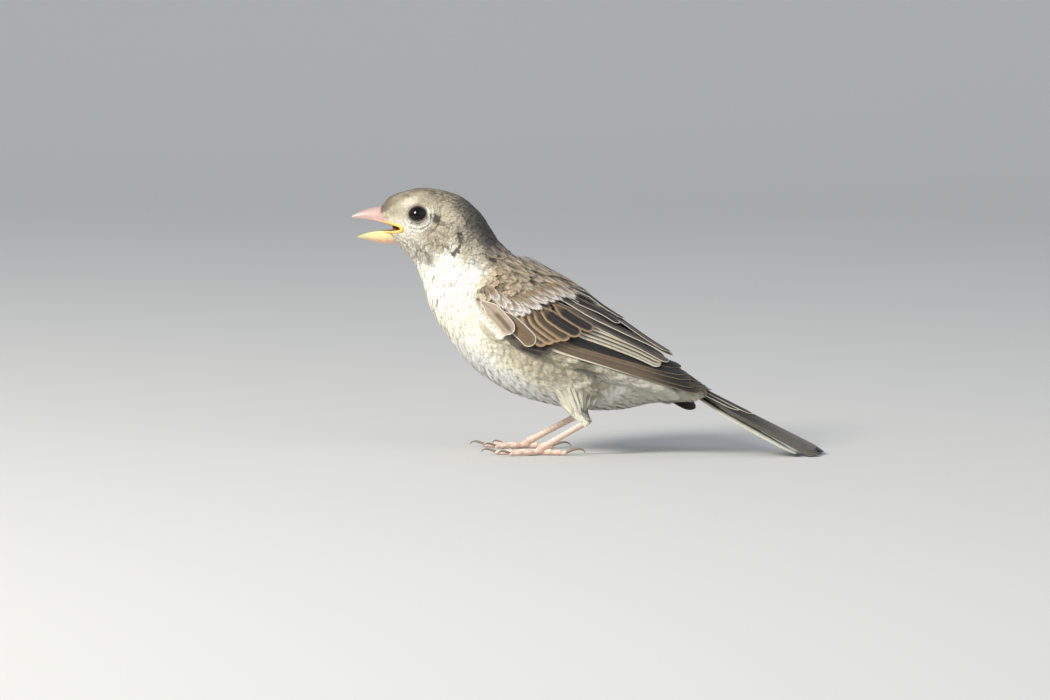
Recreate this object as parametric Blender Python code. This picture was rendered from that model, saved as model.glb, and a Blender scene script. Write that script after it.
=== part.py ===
"""A life-size still model of a hen house sparrow, standing with its bill open.

The bird faces -X, its left side is -Y and up is +Z. Every size below is in millimetres, and each mesh is
turned into metres as it is made. The sizes are in the bird's own frame, whose floor is z = 0. The last step
hangs every piece on one empty, which sets the origin at the middle of the footprint, on the floor.
"""

import math

import bmesh
import bpy
import numpy as np
from mathutils import Matrix, Vector

MM = 0.001
GAP = 0.3  # between pieces that touch
PART_NAME = "house_sparrow"
LEFT, RIGHT = -1, 1
SIDE_NAMES = {LEFT: "left", RIGHT: "right"}

# Head, neck and torso: name, top x and z, bottom x and z, half width. A section stands on the line from its
# bottom to its top point, square to the bird's middle plane.
BODY_SECTIONS = (
    ("face", -57.8, 71.2, -54.6, 60.2, 4.2),
    ("brow", -55.9, 73.3, -52.7, 57.9, 6.1),
    ("eye_front", -52.3, 74.6, -50.8, 55.6, 7.9),
    ("eye_back", -47.4, 75.6, -49.2, 53.5, 9.3),
    ("crown", -41.7, 75.0, -48.2, 51.4, 10.1),
    ("ear", -35.8, 73.1, -47.3, 49.2, 10.5),
    ("nape", -30.6, 68.7, -46.5, 46.6, 10.7),
    ("neck_top", -27.3, 63.8, -45.8, 43.6, 11.2),
    ("neck_base", -24.0, 58.9, -44.4, 40.3, 12.4),
    ("shoulder", -19.9, 55.6, -42.4, 36.8, 14.3),
    ("breast", -14.4, 52.4, -39.1, 32.0, 16.2),
    ("chest", -7.9, 48.6, -34.2, 25.8, 17.5),
    ("keel", -1.8, 44.8, -28.0, 20.7, 18.0),
    ("flank", 4.2, 40.6, -19.8, 16.3, 17.7),
    ("belly", 10.4, 36.2, -10.1, 13.6, 16.2),
    ("vent_front", 16.5, 31.6, 0.4, 12.1, 14.0),
    ("vent", 22.4, 27.6, 10.4, 12.2, 11.0),
    ("rump", 28.6, 23.6, 20.0, 14.2, 8.0),
    ("tail_cover", 34.2, 19.8, 29.4, 14.6, 5.6),
    ("tail_base", 38.6, 17.0, 36.4, 13.6, 4.2),
)
BODY_SQUARENESS = 2.15
HEAD_END = 6.35  # where the head parts from the neck, counted in sections
NECK_END = 8.35
TORSO_END = 18.9
BODY_SIDES = 26
BODY_RINGS_PER_SECTION = 2

# Eyes and lids
EYE_X, EYE_Z = -48.4, 68.4
EYE_RADIUS = 3.15
EYE_STAND_OUT = 0.55  # how far the ball rises over the cheek
LID_RADIUS = 2.75
LID_THICK = 0.5

# The bill's two halves: top x and z, bottom x and z, half width, from the root to the tip
BILL_UPPER_SECTIONS = (
    ("root", -54.6, 71.6, -52.0, 64.0, 3.9),
    ("base", -57.6, 70.5, -55.6, 65.0, 3.5),
    ("middle", -61.0, 69.9, -59.8, 66.0, 2.55),
    ("fore", -64.4, 69.0, -63.8, 66.7, 1.45),
    ("tip", -67.3, 67.6, -67.2, 67.1, 0.3),
)
BILL_LOWER_SECTIONS = (
    ("root", -52.0, 63.5, -51.6, 59.6, 3.5),
    ("base", -55.0, 63.4, -54.8, 59.6, 3.2),
    ("middle", -58.8, 63.3, -58.9, 59.8, 2.35),
    ("fore", -62.4, 62.7, -62.6, 60.6, 1.3),
    ("tip", -65.6, 61.7, -65.7, 61.3, 0.3),
)
NOSTRIL_X, NOSTRIL_Z = -58.0, 68.9
NOSTRIL_RADIUS = 0.5
MOUTH_CORNER = (-52.4, 64.3)  # x, z
MOUTH_TOP_EDGE = (-55.6, 65.4)
MOUTH_LOW_EDGE = (-55.2, 63.2)
MOUTH_HALF_HEIGHT, MOUTH_HALF_WIDTH, MOUTH_DEPTH = 2.2, 3.3, 8.5
LIP_RADIUS = 0.5

# Folded wings: the form that the feathers lie on, in the same terms as the body
WING_SECTIONS = (
    ("front", -20.5, 57.5, -45.0, 37.5, 14.2),
    ("shoulder", -18.5, 57.0, -42.5, 36.0, 15.6),
    ("wrist", -13.5, 54.0, -38.8, 31.4, 17.2),
    ("forearm", -7.0, 50.2, -34.0, 25.2, 18.6),
    ("elbow", -0.9, 46.6, -28.0, 20.0, 19.3),
    ("coverts", 5.0, 41.6, -20.0, 15.5, 19.4),
    ("secondaries", 11.4, 37.0, -10.6, 12.4, 18.2),
    ("tertials", 17.6, 32.4, 0.2, 11.0, 16.2),
    ("rump", 24.2, 28.0, 10.2, 11.0, 13.8),
    ("crossing", 29.8, 23.6, 20.0, 11.8, 11.4),
    ("tips", 36.0, 19.6, 29.4, 11.4, 9.4),
    ("past_tips", 43.0, 15.6, 38.0, 8.4, 8.2),
)
WING_TUCK = 0.3  # how far the form curls in under its widest line, against an oval's 1
SHOULDER = (-30.0, 48.0)  # x, z
WING_DROOP = {LEFT: 0.0, RIGHT: math.radians(5.8)}  # about the shoulder

# The wing's arm under the feathers: x and z of its middle line, and half width there
WING_ARM = (
    (-32.2, 47.6, 2.4),
    (-29.6, 46.2, 5.2),
    (-24.0, 43.4, 8.2),
    (-17.0, 39.8, 9.6),
    (-9.0, 36.4, 9.4),
    (0.0, 33.0, 8.2),
    (9.0, 29.2, 6.6),
    (18.0, 25.0, 4.8),
    (25.0, 21.8, 3.0),
)
ARM_COLUMNS = 7
ARM_TOP, ARM_BOTTOM = 0.1, -2.2  # its two faces, counted from the wing's form

# Feather tiers of a wing. Each runs from its first to its last feather: roots and tips as x and z, half
# width, height of root and tip over the wing's form, and the sideways bow of the feather's middle line.
PRIMARIES = dict(
    count=7, first=((-21.0, 34.6), (34.2, 17.6)), last=((-14.0, 35.6), (27.0, 25.8)),
    half_width=(2.0, 2.3), height=((-0.5, -0.6), (-0.1, 0.3)), bow=-0.8,
)
SECONDARIES = dict(
    count=5, first=((-13.0, 35.4), (18.6, 23.4)), last=((-2.0, 38.4), (22.4, 24.8)),
    half_width=(2.6, 2.6), height=((0.2, 0.7), (0.3, 0.9)), bow=-0.4,
)
TERTIALS = dict(
    count=3, first=((-2.0, 36.6), (23.4, 24.6)), last=((1.0, 40.4), (24.4, 27.6)),
    half_width=(2.6, 2.9), height=((0.3, 1.0), (0.5, 1.0)), bow=0.7,
)
INNER_TERTIALS = dict(
    count=3, first=((-8.0, 42.0), (8.6, 36.2)), last=((-4.6, 41.6), (13.6, 36.6)),
    half_width=(2.4, 2.6), height=((0.1, 1.3), (0.1, 1.0)), bow=1.2,
)
GREATER_COVERTS = dict(
    count=7, first=((-24.0, 39.6), (-13.6, 31.0)), last=((-10.4, 43.2), (3.2, 35.6)),
    half_width=(2.2, 2.4), height=((0.3, 1.0), (0.6, 1.6)), bow=-0.7,
)
PRIMARY_COVERTS = dict(
    count=3, first=((-29.6, 41.2), (-20.4, 33.8)), last=((-26.0, 41.6), (-15.4, 31.4)),
    half_width=(2.0, 2.0), height=((0.2, 0.5), (0.4, 0.9)), bow=-0.5,
)
MEDIAN_COVERTS = dict(
    count=6, first=((-27.6, 43.8), (-21.4, 39.4)), last=((-14.0, 47.8), (-5.2, 42.8)),
    half_width=(1.9, 2.2), height=((0.7, 1.5), (1.2, 2.3)), bow=-0.3,
)
SCAPULARS = dict(
    count=5, first=((-23.0, 47.4), (-9.0, 43.0)), last=((-14.4, 46.6), (1.4, 43.4)),
    half_width=(2.7, 2.9), height=((0.1, 2.3), (0.1, 1.2)), bow=1.4,
)
WING_TIERS = (
    PRIMARIES, SECONDARIES, TERTIALS, INNER_TERTIALS, GREATER_COVERTS, PRIMARY_COVERTS,
    MEDIAN_COVERTS, SCAPULARS,
)
VANE_THICK, VANE_TIP_THICK = 0.6, 0.3
VANE_STATIONS = ((0.0, 0.6), (0.42, 1.0), (0.76, 0.96), (0.93, 0.66), (1.0, 0.2))
VANE_TILT = 0.11  # rise across a vane: its lower edge lies over the next feather
FEATHER_SHIFT = 0.35  # how far a tip may stray from its tier's even step
FEATHER_WIDTH_RANGE = (0.94, 1.05)
FEATHER_SEED = 4

# Tail: pairs of feathers spread from one root, the middle pair on top
TAIL_ROOT = (37.6, 15.4)  # x, z
TAIL_TIP = (68.7, 0.0)
TAIL_PAIRS = 6
TAIL_HALF_WIDTH = 3.3
TAIL_SPREAD = math.radians(8.5)
TAIL_PAIR_DROP = 0.36
TAIL_ROLL = math.radians(11.0)
TAIL_NOTCH = 2.6
TAIL_LEFT_SHORT = 4.5  # the left outer feathers are still growing
TAIL_STUB = (3.6, 1.5, 9.0)  # half width, half height, length
TAIL_STUB_DROP = 0.5
TAIL_STUB_SIDES = 14

# Legs. Each foot: x and y of the toes' hub, and the ankle above it
HUB_HEIGHT = 1.75
FEET = {
    LEFT: dict(
        hip=(-5.2, -7.0, 19.5), knee=(-1.4, -8.6, 13.6), ankle=(1.6, -9.4, 9.4), hub=(-11.4, -10.4), turn=4.0
    ),
    RIGHT: dict(
        hip=(-9.0, 7.0, 19.5), knee=(-5.4, 8.6, 13.8), ankle=(-3.0, 9.4, 9.8), hub=(-18.2, 10.4), turn=-7.0
    ),
}
THIGH_RADII = (5.0, 3.5, 2.0)
TARSUS_RADIUS = 0.95
TARSUS_RINGS = 9
SCUTE_STEP = 0.1
TOES = (  # name, heading from straight ahead (outward is positive), toe length, claw length, radius
    ("inner", -27.0, 9.6, 4.6, 0.78),
    ("middle", -1.0, 13.2, 5.0, 0.85),
    ("outer", 25.0, 9.8, 4.4, 0.75),
    ("hind", 176.0, 7.6, 6.4, 0.9),
)
TOE_SINK = 0.14  # how much of a toe's pad is pressed flat on the floor
TOE_JOINTS, TOE_PAD_SWELL, TOE_TAPER = 3, 0.13, 0.28
TOE_ROOT_RISE = 0.45
TOE_RINGS, TOE_SIDES = 8, 8
CLAW_ROOT = 0.9  # how far a claw's root lies inside its toe
CLAW_TIP_RADIUS = 0.13
CLAW_RINGS, CLAW_SIDES = 5, 6

# The head looks a little to the bird's left
HEAD_TURN = math.radians(8.0)
HEAD_PIVOT = (-33.7, 54.3)  # x, z
HEAD_UP = (-0.55, 0.83)  # the way from the neck to the head
HEAD_TURN_OVER = 14.0

COLOURS = {  # base colour, roughness
    "plumage_pale": ((0.72, 0.66, 0.53), 0.9),
    "plumage_head": ((0.44, 0.38, 0.29), 0.9),
    "wing_brown": ((0.27, 0.19, 0.12), 0.85),
    "tail_brown": ((0.22, 0.18, 0.14), 0.85),
    "bill_horn": ((0.66, 0.50, 0.36), 0.45),
    "bill_yellow": ((0.80, 0.66, 0.36), 0.45),
    "eye_black": ((0.02, 0.015, 0.01), 0.05),
    "leg_pink": ((0.62, 0.42, 0.35), 0.6),
}


def clear_scene():
    for obj in list(bpy.data.objects):
        bpy.data.objects.remove(obj, do_unlink=True)


def material(name):
    """A plain finish from the colour table."""
    found = bpy.data.materials.get(name)
    if found:
        return found
    made = bpy.data.materials.new(name)
    made.use_nodes = True
    (red, green, blue), rough = COLOURS[name]
    shader = made.node_tree.nodes["Principled BSDF"]
    shader.inputs["Base Color"].default_value = (red, green, blue, 1.0)
    shader.inputs["Roughness"].default_value = rough
    made.diffuse_color = (red, green, blue, 1.0)
    return made


def smoothstep(x):
    x = np.clip(x, 0.0, 1.0)
    return x * x * (3.0 - 2.0 * x)


class Form:
    """A smooth shape through oval sections: t counts sections, and the angle runs up from the widest line."""

    def __init__(self, sections, squareness=2.0, tuck=1.0):
        self.table = np.array([row[1:] for row in sections], float)
        before = np.vstack([2 * self.table[0] - self.table[1], self.table[:-1]])
        after = np.vstack([self.table[1:], 2 * self.table[-1] - self.table[-2]])
        self.slopes = (after - before) / 2
        self.last = len(self.table) - 1
        self.squareness = squareness
        self.tuck = tuck

    def sizes(self, t):
        """Top x and z, bottom x and z, half width at t: cubics whose slopes come from the neighbours."""
        t = np.clip(np.asarray(t, float), 0.0, self.last)
        k = np.minimum(t.astype(int), self.last - 1)
        u = (t - k)[..., None]
        a, b, da, db = self.table[k], self.table[k + 1], self.slopes[k], self.slopes[k + 1]
        return (
            (2 * u**3 - 3 * u**2 + 1) * a + (u**3 - 2 * u**2 + u) * da
            + (3 * u**2 - 2 * u**3) * b + (u**3 - u**2) * db
        )

    def points(self, t, angle, grow=0.0):
        """Points of the oval at t, on the left for angles within a quarter turn of 0."""
        sizes = self.sizes(t)
        top, low, half = sizes[..., 0:2], sizes[..., 2:4], sizes[..., 4]
        middle, rise = (top + low) / 2, (top - low) / 2
        height = np.linalg.norm(rise, axis=-1)
        power = 2.0 / self.squareness
        up = np.sign(np.sin(angle)) * np.abs(np.sin(angle)) ** power
        out = np.sign(np.cos(angle)) * np.abs(np.cos(angle)) ** power
        out = np.where(np.sin(angle) < 0, 1.0 - self.tuck * (1.0 - out), out)
        flat = middle + rise * (up * (1.0 + grow / height))[..., None]
        return np.stack([flat[..., 0], LEFT * (half + grow) * out, flat[..., 1]], axis=-1)

    def normals(self, t, angle):
        """Outward directions, from small steps along and round the form."""
        step = 1e-3
        along = self.points(t + step, angle) - self.points(t - step, angle)
        around = self.points(t, angle + step) - self.points(t, angle - step)
        normal = np.cross(along, around)
        return normal / np.linalg.norm(normal, axis=-1, keepdims=True)

    def locate(self, x, z):
        """The t and angle of the place on the left side that is seen at x, z."""
        grid = np.linspace(0.0, self.last, 40 * self.last + 1)
        sizes = self.sizes(grid)
        low, line = sizes[:, 2:4], sizes[:, 0:2] - sizes[:, 2:4]
        away = np.array([x, z]) - low
        turn = line[:, 0] * away[:, 1] - line[:, 1] * away[:, 0]
        at = int(np.argmin(np.abs(turn)))
        other = at + 1 if at == 0 or (at < len(grid) - 1 and turn[at] * turn[at + 1] < 0) else at - 1
        share = turn[at] / (turn[at] - turn[other]) if turn[at] != turn[other] else 0.0
        t = grid[at] + float(np.clip(share, 0.0, 1.0)) * (grid[other] - grid[at])
        sizes = self.sizes(t)
        line = sizes[0:2] - sizes[2:4]
        away = np.array([x, z]) - sizes[2:4]
        level = 2 * float(away @ line) / float(line @ line) - 1
        return t, math.asin(max(-0.985, min(0.985, level)))

    def seen_at(self, xz):
        """Points and normals of the form's left side at rows of x and z."""
        found = np.array([self.locate(x, z) for x, z in np.reshape(xz, (-1, 2))])
        shape = np.shape(xz)[:-1]
        t, angle = found[:, 0].reshape(shape), found[:, 1].reshape(shape)
        return self.points(t, angle), self.normals(t, angle)


def pose(points):
    """Turns the head about an upright line through the neck, growing from nothing over HEAD_TURN_OVER."""
    x, z = points[:, 0] - HEAD_PIVOT[0], points[:, 2] - HEAD_PIVOT[1]
    share = smoothstep((x * HEAD_UP[0] + z * HEAD_UP[1]) / HEAD_TURN_OVER)
    turn = HEAD_TURN * share
    cos, sin = np.cos(turn), np.sin(turn)
    return np.stack(
        [HEAD_PIVOT[0] + x * cos - points[:, 1] * sin, x * sin + points[:, 1] * cos, points[:, 2]], axis=1
    )


def mesh_object(name, points, faces, finish=None):
    """A mesh from points in millimetres, with its faces turned outwards."""
    mesh = bpy.data.meshes.new(name)
    mesh.from_pydata((np.asarray(points) * MM).tolist(), [], [tuple(face) for face in faces])
    obj = bpy.data.objects.new(name, mesh)
    bpy.context.scene.collection.objects.link(obj)
    bm = bmesh.new()
    bm.from_mesh(mesh)
    bmesh.ops.recalc_face_normals(bm, faces=bm.faces)
    if bm.calc_volume(signed=True) < 0:
        bmesh.ops.reverse_faces(bm, faces=bm.faces)
    bm.to_mesh(mesh)
    bm.free()
    if finish:
        mesh.materials.append(material(finish))
    return obj


def loft(name, rings, finish=None):
    """A closed skin through rings of equal count, with a flat cap at each end."""
    rings = np.asarray(rings, float)
    count, sides = rings.shape[:2]
    index = np.arange(count * sides).reshape(count, sides)
    here, there = index[:-1], index[1:]
    quads = np.stack([here, np.roll(here, -1, 1), np.roll(there, -1, 1), there], axis=-1).reshape(-1, 4)
    caps = [index[0][::-1].tolist(), index[-1].tolist()]
    return mesh_object(name, rings.reshape(-1, 3), quads.tolist() + caps, finish)


def slab(name, top, bottom, finish=None):
    """A closed sheet between two grids of points, split into triangles alike on both faces."""
    rows, columns = top.shape[:2]
    index = np.arange(rows * columns).reshape(rows, columns)
    a, b, c, d = index[:-1, :-1], index[1:, :-1], index[1:, 1:], index[:-1, 1:]
    upper = np.concatenate([np.stack([a, b, c], -1).reshape(-1, 3), np.stack([a, c, d], -1).reshape(-1, 3)])
    lower = upper[:, ::-1] + rows * columns
    rim = np.concatenate([index[0], index[1:, -1], index[-1, -2::-1], index[-2:0:-1, 0]])
    ahead = np.roll(rim, -1)
    under, under_ahead = rim + rows * columns, ahead + rows * columns
    wall = np.concatenate([np.stack([rim, ahead, under_ahead], -1), np.stack([rim, under_ahead, under], -1)])
    faces = np.concatenate([upper, lower, wall]).tolist()
    return mesh_object(name, np.concatenate([top.reshape(-1, 3), bottom.reshape(-1, 3)]), faces, finish)


def tube(name, path, radii, sides, finish=None):
    """A round rod along a path, its rings square to the path."""
    path, radii = np.asarray(path, float), np.asarray(radii, float)
    along = np.gradient(path, axis=0)
    along /= np.linalg.norm(along, axis=1, keepdims=True)
    side = np.cross(along, (0.0, 0.0, 1.0))
    side /= np.linalg.norm(side, axis=1, keepdims=True)
    up = np.cross(side, along)
    angle = np.arange(sides) * 2 * math.pi / sides + math.pi / sides
    ring = np.cos(angle)[None, :, None] * side[:, None] + np.sin(angle)[None, :, None] * up[:, None]
    return loft(name, path[:, None] + radii[:, None, None] * ring, finish)


def primitive(name, matrix, make, **sizes):
    """A bmesh primitive, placed by a matrix in metres."""
    bm = bmesh.new()
    make(bm, **sizes)
    bm.transform(matrix)
    mesh = bpy.data.meshes.new(name)
    bm.to_mesh(mesh)
    bm.free()
    obj = bpy.data.objects.new(name, mesh)
    bpy.context.scene.collection.objects.link(obj)
    return obj


def ball(name, centre, radii, segments, rings, finish=None):
    """An ellipsoid."""
    matrix = Matrix.LocRotScale(Vector(centre) * MM, None, Vector(radii) * MM)
    sphere = bmesh.ops.create_uvsphere
    obj = primitive(name, matrix, sphere, u_segments=segments, v_segments=rings, radius=1.0)
    if finish:
        obj.data.materials.append(material(finish))
    return obj


def mirror_left(obj, name):
    """A copy of a piece of the left side, reflected to the right."""
    twin = bpy.data.objects.new(name, obj.data.copy())
    bpy.context.scene.collection.objects.link(twin)
    twin.data.transform(Matrix.Scale(-1.0, 4, (0.0, 1.0, 0.0)))
    twin.data.flip_normals()
    return twin


def evaluated_mesh(obj):
    graph = bpy.context.evaluated_depsgraph_get()
    return bpy.data.meshes.new_from_object(obj.evaluated_get(graph), depsgraph=graph)


def islands(bm):
    """The vertex sets of a mesh's separate surfaces."""
    left = set(bm.verts)
    while left:
        found, edge = set(), {next(iter(left))}
        while edge:
            found |= edge
            edge = {e.other_vert(v) for v in edge for e in v.link_edges} - found
        left -= found
        yield found


def enclosed(verts):
    faces = {face for vert in verts for face in vert.link_faces}
    total = 0.0
    for face in faces:
        first, *others = [vert.co for vert in face.verts]
        total += sum(first.dot(a.cross(b)) for a, b in zip(others, others[1:], strict=False))
    return abs(total) / 6


def keep_largest(obj):
    """Leaves only the closed surface that encloses the most."""
    bm = bmesh.new()
    bm.from_mesh(obj.data)
    parts = sorted(islands(bm), key=enclosed, reverse=True)
    for verts in parts[1:]:
        bmesh.ops.delete(bm, geom=list(verts), context="VERTS")
    bm.to_mesh(obj.data)
    bm.free()


def boolean(obj, others, operation):
    """Joins others to obj or cuts them from it, in one Boolean on a collection, and removes them."""
    helpers = bpy.data.collections.new("helpers")
    bpy.context.scene.collection.children.link(helpers)
    for other in others:
        for holder in list(other.users_collection):
            holder.objects.unlink(other)
        helpers.objects.link(other)
        other.hide_render = True
        other.display_type = "WIRE"
    modifier = obj.modifiers.new(operation.lower(), "BOOLEAN")
    modifier.operation = operation
    modifier.operand_type = "COLLECTION"
    modifier.collection = helpers
    modifier.solver = "EXACT"
    bpy.context.view_layer.update()
    made = evaluated_mesh(obj)
    obj.modifiers.clear()
    obj.data = made
    for other in others:
        bpy.data.objects.remove(other, do_unlink=True)
    bpy.data.collections.remove(helpers)
    return obj


def slice_off(obj, point, normal):
    """Cuts away what lies beyond a plane and closes the cut."""
    bm = bmesh.new()
    bm.from_mesh(obj.data)
    bmesh.ops.bisect_plane(
        bm, geom=[*bm.verts, *bm.edges, *bm.faces], dist=1e-7,
        plane_co=Vector(point) * MM, plane_no=Vector(normal), clear_outer=True,
    )
    rim = [edge for edge in bm.edges if edge.is_boundary]
    bmesh.ops.holes_fill(bm, edges=rim, sides=0)
    bmesh.ops.recalc_face_normals(bm, faces=bm.faces)
    bm.to_mesh(obj.data)
    bm.free()
    return obj


def form_solid(name, form, rings, sides, grow=0.0, finish=None):
    """The whole of a form as a closed skin, grown by an even allowance."""
    t = np.linspace(0.0, form.last, rings)[:, None]
    angle = (np.arange(sides) * 2 * math.pi / sides)[None, :]
    points = form.points(t, angle, grow)
    if grow:
        for end, inner in ((0, 1), (-1, -2)):
            away = points[end].mean(0) - points[inner].mean(0)
            points[end] += grow * away / np.linalg.norm(away)
    return loft(name, points, finish)


BODY = Form(BODY_SECTIONS, BODY_SQUARENESS)
WING = Form(WING_SECTIONS, tuck=WING_TUCK)


def body_solid(name, grow=0.0, finish=None):
    return form_solid(name, BODY, BODY_RINGS_PER_SECTION * BODY.last + 1, BODY_SIDES, grow, finish)


def parting(at):
    """The middle point and the forward direction of the plane that parts the body at a section."""
    sizes = BODY.sizes(at)
    line = (sizes[0:2] - sizes[2:4]) / np.linalg.norm(sizes[0:2] - sizes[2:4])
    middle = (sizes[0:2] + sizes[2:4]) / 2
    return np.array([middle[0], 0.0, middle[1]]), np.array([-line[1], 0.0, line[0]])


def body_piece(name, front, back, finish):
    """The body between two parting planes, each cut half a gap short."""
    obj = body_solid(name, finish=finish)
    for at, way in ((front, 1.0), (back, -1.0)):
        if at is not None:
            middle, forward = parting(at)
            slice_off(obj, middle - way * forward * GAP / 2, way * forward)
    return obj


def curve_through(start, middle, end, count):
    """Points of the parabola that passes start, middle and end."""
    share = np.linspace(0.0, 1.0, count)[:, None]
    control = 2 * np.asarray(middle) - (np.asarray(start) + np.asarray(end)) / 2
    return (1 - share) ** 2 * start + 2 * share * (1 - share) * control + share**2 * np.asarray(end)


def eye_place():
    """The centre of the left eyeball and the way that it looks."""
    spot, normal = BODY.seen_at([(EYE_X, EYE_Z)])
    return spot[0] + normal[0] * (EYE_STAND_OUT - EYE_RADIUS), normal[0]


def eye_ball(name, grow=0.0, finish=None):
    centre, _ = eye_place()
    return ball(name, centre, [EYE_RADIUS + grow] * 3, 18, 11, finish)


def lid_ring(name):
    """The rim of the eyelids, a ring where the ball meets the cheek."""
    centre, look = eye_place()
    place = centre + look * math.sqrt(EYE_RADIUS**2 - LID_RADIUS**2)
    turn = Vector(look).to_track_quat("Z", "Y").to_euler()
    bpy.ops.mesh.primitive_torus_add(
        major_radius=LID_RADIUS * MM, minor_radius=LID_THICK * MM, major_segments=20, minor_segments=6,
        location=Vector(place) * MM, rotation=turn,
    )
    ring = bpy.context.object
    ring.name = name
    ring.data.transform(ring.matrix_world)
    ring.matrix_world = Matrix.Identity(4)
    return ring


def lip(name, grow=0.0):
    """The soft fold round the left corner of the mouth."""
    xz = np.array([MOUTH_TOP_EDGE, MOUTH_CORNER, MOUTH_LOW_EDGE])
    spots, _ = BODY.seen_at(curve_through(*xz, 7))
    return tube(name, spots, [LIP_RADIUS + grow] * len(spots), 6)


def mouth_hollow(name):
    """The open mouth's inside, a cone that narrows back into the head."""
    tilt = Vector((-1.0, 0.0, 0.05)).to_track_quat("Z", "Y")
    middle = Vector((MOUTH_CORNER[0] - MOUTH_DEPTH / 2 + 3.0, 0.0, MOUTH_CORNER[1])) * MM
    sizes = Vector((MOUTH_HALF_WIDTH, MOUTH_HALF_HEIGHT, MOUTH_DEPTH)) * MM
    flat = Matrix.Diagonal((*sizes, 1.0))
    upright = Matrix.Rotation(math.radians(90.0), 4, "Z")
    matrix = Matrix.Translation(middle) @ tilt.to_matrix().to_4x4() @ upright @ flat
    return primitive(
        name, matrix, bmesh.ops.create_cone, cap_ends=True, segments=14, radius1=0.25, radius2=1.0, depth=1.0
    )


def make_head():
    """Head with lids, eye sockets, the mouth's hollow and the folds at its corners."""
    head = body_piece("head", None, HEAD_END, "plumage_head")
    added = [lid_ring("lid_left"), lip("lip_left")]
    added += [mirror_left(piece, "twin") for piece in added]
    boolean(head, added, "UNION")
    sockets = [eye_ball("socket_left", GAP)]
    sockets.append(mirror_left(sockets[0], "socket_right"))
    boolean(head, [*sockets, mouth_hollow("mouth")], "DIFFERENCE")
    keep_largest(head)
    return head


def make_eyes():
    left = eye_ball("eye_left", finish="eye_black")
    return [left, mirror_left(left, "eye_right")]


def bill_half(name, sections, hollow, finish):
    """Half of the bill: a round back and, towards the mouth, a shallow trough between its cutting edges."""
    form = Form(sections)
    back = np.radians(np.linspace(0.0, 180.0, 9))
    t = np.linspace(0.0, form.last, 4 * form.last + 1)[:, None]
    sizes = form.sizes(t)
    top, low, half = sizes[..., 0:2], sizes[..., 2:4], sizes[..., 4]
    ridge, edge = (top, low) if hollow > 0 else (low, top)
    share = np.concatenate([np.sin(back), [abs(hollow)] * 3])[None, :, None]
    out = np.concatenate([np.cos(back), [-0.55, 0.0, 0.55]])[None, :]
    share[..., -2, :] *= 1.3
    flat = edge + (ridge - edge) * share
    rings = np.stack([flat[..., 0], half * out, flat[..., 1]], axis=-1)
    obj = loft(name, rings, finish)
    cutters = [body_solid("face", GAP), lip("fold_left", GAP)]
    cutters.append(mirror_left(cutters[1], "fold_right"))
    boolean(obj, cutters, "DIFFERENCE")
    keep_largest(obj)
    return obj


def make_bill():
    upper = bill_half("bill_upper", BILL_UPPER_SECTIONS, 0.18, "bill_horn")
    spot, _ = Form(BILL_UPPER_SECTIONS).seen_at([(NOSTRIL_X, NOSTRIL_Z)])
    pit = ball("nostril", spot[0], (1.4 * NOSTRIL_RADIUS, NOSTRIL_RADIUS, NOSTRIL_RADIUS), 8, 6)
    boolean(upper, [pit, mirror_left(pit, "nostril_right")], "DIFFERENCE")
    return [upper, bill_half("bill_lower", BILL_LOWER_SECTIONS, -0.3, "bill_yellow")]


def vane(name, root, tip, half_width, height, bow):
    """One wing feather: a thin blade on the wing's form that tapers to its tip and tilts over the next."""
    u = np.array([station[0] for station in VANE_STATIONS])
    wide = half_width * np.array([station[1] for station in VANE_STATIONS])
    root, tip = np.array(root), np.array(tip)
    length = np.linalg.norm(tip - root)
    square = np.array([-(tip - root)[1], (tip - root)[0]]) / length
    line = root + u[:, None] * (tip - root) + (4 * bow * u * (1 - u))[:, None] * square
    spots, normals = WING.seen_at(line)
    along = np.gradient(spots, axis=0)
    along /= np.linalg.norm(along, axis=1, keepdims=True)
    across = np.cross(along, normals)
    across /= np.linalg.norm(across, axis=1, keepdims=True)
    lift = np.interp(u, [0.0, 1.0], height)
    reach = wide[:, None] * np.array([-1.0, 1.0])[None, :]
    rise = lift[:, None] + VANE_TILT * reach
    thick = np.interp(u, [0.0, 0.7, 1.0], [VANE_THICK, VANE_THICK, VANE_TIP_THICK])
    top = spots[:, None] + reach[..., None] * across[:, None] + rise[..., None] * normals[:, None]
    bottom = top - thick[:, None, None] * normals[:, None]
    return slab(name, top, bottom)


def hung(xz, side):
    """Side-view places of a wing, turned down about the shoulder by its droop."""
    cos, sin = math.cos(WING_DROOP[side]), math.sin(WING_DROOP[side])
    x, z = np.moveaxis(np.asarray(xz, float) - SHOULDER, -1, 0)
    return np.stack([x * cos + z * sin, z * cos - x * sin], axis=-1) + SHOULDER


def wing_arm(name, side):
    """The flesh and small coverts that the wing's feathers grow from, a blade along the wing's form."""
    line = np.array(WING_ARM)
    line[:, :2] = hung(line[:, :2], side)
    along = np.gradient(line[:, :2], axis=0)
    square = np.stack([-along[:, 1], along[:, 0]], 1) / np.linalg.norm(along, axis=1)[:, None]
    columns = np.linspace(-1.0, 1.0, ARM_COLUMNS)
    xz = line[:, None, :2] + columns[None, :, None] * line[:, None, 2:] * square[:, None]
    spots, normals = WING.seen_at(xz)
    thin = 1.0 - 0.75 * np.abs(columns[None, :, None]) ** 3
    ends = [0, 1, len(line) - 3, len(line) - 1]
    fade = np.interp(np.arange(len(line)), ends, [0.5, 1.0, 1.0, 0.4])[:, None, None]
    middle = (ARM_TOP + ARM_BOTTOM) / 2
    half = (ARM_TOP - ARM_BOTTOM) / 2
    top = spots + normals * (middle + half * thin * fade)
    bottom = spots + normals * (middle - half * thin * fade)
    return slab(name, top, bottom)


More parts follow.
